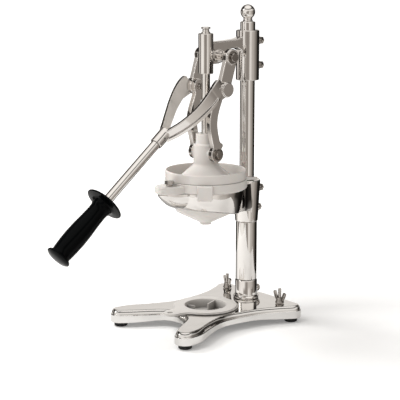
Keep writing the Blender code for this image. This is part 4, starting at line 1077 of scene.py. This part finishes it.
def wing_nut(x, y, z, degrees):
    nut = lathe([(2.9, 0), (6.6, 0), (6.9, 0.8), (5.4, 5.6), (4.8, 8.0), (2.9, 8.0)],
                SMOOTH_SIDES, ring=True)
    for side in (-1, 1):
        outline = [(side * u, v) for u, v in WING_OUTLINE][::side]
        union(nut, prism(outline, -1.8, 1.8, "Y", 0.5))
    nut.data.transform(Matrix.Translation((x, y, z))
                       @ Matrix.Rotation(math.radians(degrees), 4, "Z"))
    return nut


def make_studs():
    for side, name, degrees in ((-1, "left", -20), (1, "right", -5)):
        x = side * STUD_X
        stud = lathe([(0, 10.6), (2.4, 10.6), (2.4, 48.6), (1.8, 49.4), (0, 49.4)], 16,
                     Matrix.Translation((x, STUD_Y, 0)))
        finish_node(stud, "stud_" + name, STEEL)
        finish_node(wing_nut(x, STUD_Y, BASE_TOP + 1.0, degrees), "wing_nut_" + name, STEEL)


make_base()
make_feet()
make_glass_rest()
make_column()
make_ball()
make_bowl_holder()
make_funnel_cup()
make_basket()
make_cup_bolt()
make_plunger()
make_head()
finish_node(crossbar(-35.0, 35.0, TOP_PIVOT, 4.9, chamfer=0.4), "top_pivot_shaft", STEEL)
pivot_screws("top_pivot_cap", TOP_PIVOT, face=UPPER_LINK[1], washer=8.4, head=6.5,
             shank=4.0, shank_x=UPPER_LINK[1] + 0.1)
make_links()
pivot_screws("bell_pivot_bolt", BELL_PIVOT, face=LOWER_LINK[1], washer=8.8, head=6.6,
             shank=3.9, shank_x=8.2, hexagonal=True)
make_knee()
make_yoke()
make_handle()
make_studs()

# ---------------------------------------------------------------- studio (metres)
CAMERA_AZIMUTH, CAMERA_PITCH = math.radians(49.33510), math.radians(11.25243)
CAMERA_PLACE = Vector((1.450924, -1.257631 + SHIFT_Y * 0.001, 0.572747))
CAMERA_LENS, CAMERA_SENSOR = 117.99558, 36.0        # mm
TO_CAMERA = Vector((math.sin(CAMERA_AZIMUTH), -math.cos(CAMERA_AZIMUTH), 0.0))
CAMERA_RIGHT = Vector((math.cos(CAMERA_AZIMUTH), math.sin(CAMERA_AZIMUTH), 0.0))


def make_camera():
    back = TO_CAMERA * math.cos(CAMERA_PITCH) + Vector((0, 0, math.sin(CAMERA_PITCH)))
    data = bpy.data.cameras.new("camera")
    data.sensor_width = CAMERA_SENSOR
    data.lens = CAMERA_LENS
    data.clip_start, data.clip_end = 0.1, 100.0
    cam = bpy.data.objects.new("camera", data)
    place = Matrix((CAMERA_RIGHT, back.cross(CAMERA_RIGHT), back)).transposed().to_4x4()
    place.translation = CAMERA_PLACE
    cam.matrix_world = place
    bpy.context.scene.collection.objects.link(cam)
    bpy.context.scene.camera = cam


# What the metal reflects round about: (degrees from the camera, + to the viewer's right;
# brightness), near the horizon and a little above it.
HORIZON = [
    (-180, 0.02), (-150, 0.015), (-134, 0.03), (-126, 0.70), (-106, 0.72), (-99, 0.05),
    (-90, 0.05), (-80, 0.80), (-52, 1.0), (-34, 0.95), (-24, 0.38), (-4, 0.27), (14, 0.33),
    (21, 0.85), (34, 0.80), (46, 0.52), (64, 0.46), (76, 0.29), (86, 0.25), (96, 0.16),
    (104, 0.03), (150, 0.01), (180, 0.02)]
ABOVE_HORIZON = [
    (-180, 0.85), (-150, 0.80), (-128, 0.05), (-96, 0.06), (-80, 0.6), (-60, 0.95),
    (-20, 0.95), (-4, 0.30), (8, 0.30), (24, 0.60), (60, 0.50), (86, 0.22), (100, 0.04),
    (136, 0.04), (152, 0.80), (180, 0.85)]
# Higher up: (height from 0 straight down to 1 straight up, brightness), on the far side of
# the press and on the camera's side.
FAR_SKY = [(0.0, 0.7), (0.50, 0.75), (0.655, 0.75), (0.685, 0.12), (0.71, 0.03), (0.84, 0.03),
           (0.88, 0.25), (0.93, 0.9), (1.0, 1.0)]
NEAR_SKY = [(0.0, 0.8), (0.62, 0.85), (0.72, 0.95), (0.785, 0.95), (0.80, 0.05), (0.862, 0.05),
            (0.88, 0.95), (1.0, 1.1)]


def make_world():
    """White surroundings; the metal reflects grey and dark flags between white panels."""
    world = bpy.data.worlds.new("studio")
    bpy.context.scene.world = world
    world.use_nodes = True
    world.node_tree.nodes.clear()
    sky = Graph(world.node_tree, "Generated")

    def unit(value):
        """From -1..1 to 0..1."""
        return sky.math("ADD", sky.math("MULTIPLY", value, 0.5), 0.5)

    def around(stops):
        return sky.ramp(azimuth, [(degrees / 360.0 + 0.5, value) for degrees, value in stops])

    turn = sky.math("ARCTAN2", sky.dot(CAMERA_RIGHT), sky.dot(TO_CAMERA))
    azimuth = sky.math("ADD", sky.math("DIVIDE", turn, 2 * math.pi), 0.5)
    rise = sky.dot((0, 0, 1))
    height = unit(rise)
    near_side = sky.ramp(unit(sky.dot(TO_CAMERA)), [(0.42, 0.0), (0.56, 1.0)])
    top = sky.mix(near_side, sky.ramp(height, FAR_SKY), sky.ramp(height, NEAR_SKY))
    is_above = sky.ramp(rise, [(0.02, 0.0), (0.12, 1.0)])
    is_top = sky.ramp(rise, [(0.22, 0.0), (0.34, 1.0)])
    is_below = sky.ramp(sky.math("MULTIPLY", rise, -1.0), [(0.35, 0.0), (0.7, 1.0)])
    glossy = sky.mix(is_above, around(HORIZON), around(ABOVE_HORIZON))
    glossy = sky.mix(is_top, glossy, top)
    glossy = sky.mix(is_below, glossy, (0.72, 0.69, 0.65))

    path = sky.new("LightPath")
    shade = sky.mix(path.outputs["Is Glossy Ray"], (0.50, 0.488, 0.475), glossy)
    shade = sky.mix(path.outputs["Is Camera Ray"], shade, (1.0, 1.0, 1.0))
    background = sky.new("Background", Color=shade, Strength=1.0)
    sky.new("OutputWorld", Surface=background.outputs[0])


def floor_material(name, glow=0.0, color=(0.90, 0.895, 0.885)):
    """Matt pale floor; glow brightens only what the camera sees of it."""
    m = Material(name)
    if glow:
        path = m.new("LightPath")
        distance = m.new("VectorMath", Vector=m.coord)
        distance.operation = "LENGTH"
        lift = m.remap(distance.outputs["Value"], source=(0.25, 1.6), target=(glow, 0.7))
        m.put(m.bsdf, "Emission Color", (1, 1, 1, 1))
        m.put(m.bsdf, "Emission Strength",
              m.math("MULTIPLY", path.outputs["Is Camera Ray"], lift))
    tone = m.remap(m.noise(scale=6, detail=3, roughness=0.5), source=(0.3, 0.7))
    normal = m.bump(m.noise(scale=300, detail=2, roughness=0.5), strength=0.03, distance=0.0005)
    return m.finish(m.mix(tone, color, tuple(c * 0.99 for c in color)), roughness=0.6,
                    metallic=0.0, normal=normal, Specular_IOR_Level=0.2)


def floor_plane(name, z, half_size, material):
    bm = bmesh.new()
    bm.faces.new([bm.verts.new((i * half_size, j * half_size, z))
                  for i, j in ((-1, -1), (1, -1), (1, 1), (-1, 1))])
    mesh = bpy.data.meshes.new(name)
    bm.to_mesh(mesh)
    bm.free()
    mesh.materials.append(material)
    ob = bpy.data.objects.new(name, mesh)
    bpy.context.scene.collection.objects.link(ob)
    return ob


def make_floors():
    """A wide floor that reflections don't see, and a near one that only they see."""
    near_material = floor_material("studio_floor")
    wide = floor_plane("floor", z=-0.0002, half_size=30,
                       material=floor_material("studio_floor_seen", glow=0.17))
    wide.visible_glossy = False
    near = floor_plane("floor_near", z=-0.0001, half_size=0.42, material=near_material)
    near.visible_camera = False
    near.visible_diffuse = False
    near.visible_shadow = False


def area_light(name, place, target, size, power, glossy=False):
    """Rectangular light of size (width, height), aimed at target."""
    data = bpy.data.lights.new(name, "AREA")
    data.shape = "RECTANGLE"
    data.size, data.size_y = size
    data.energy = power
    ob = bpy.data.objects.new(name, data)
    ob.location = place
    ob.rotation_mode = "QUATERNION"
    ob.rotation_quaternion = (Vector(target) - Vector(place)).to_track_quat("-Z", "Y")
    ob.visible_glossy = glossy
    bpy.context.scene.collection.objects.link(ob)


make_camera()
make_world()
make_floors()
area_light("key", place=(-0.5, -1.5, 2.3), target=(0, 0, 0.2), size=(1.0, 1.0), power=34)
area_light("left", place=(-1.8, -0.7, 1.9), target=(0, 0, 0.2), size=(0.8, 0.8), power=30)
area_light("strip", place=(-0.9, -1.7, 1.5), target=(0, -0.05, 0.25), size=(0.10, 1.2),
           power=3.0, glossy=True)

view = bpy.context.scene.view_settings
view.view_transform = "Standard"
view.look = "None"
view.exposure = 0.0
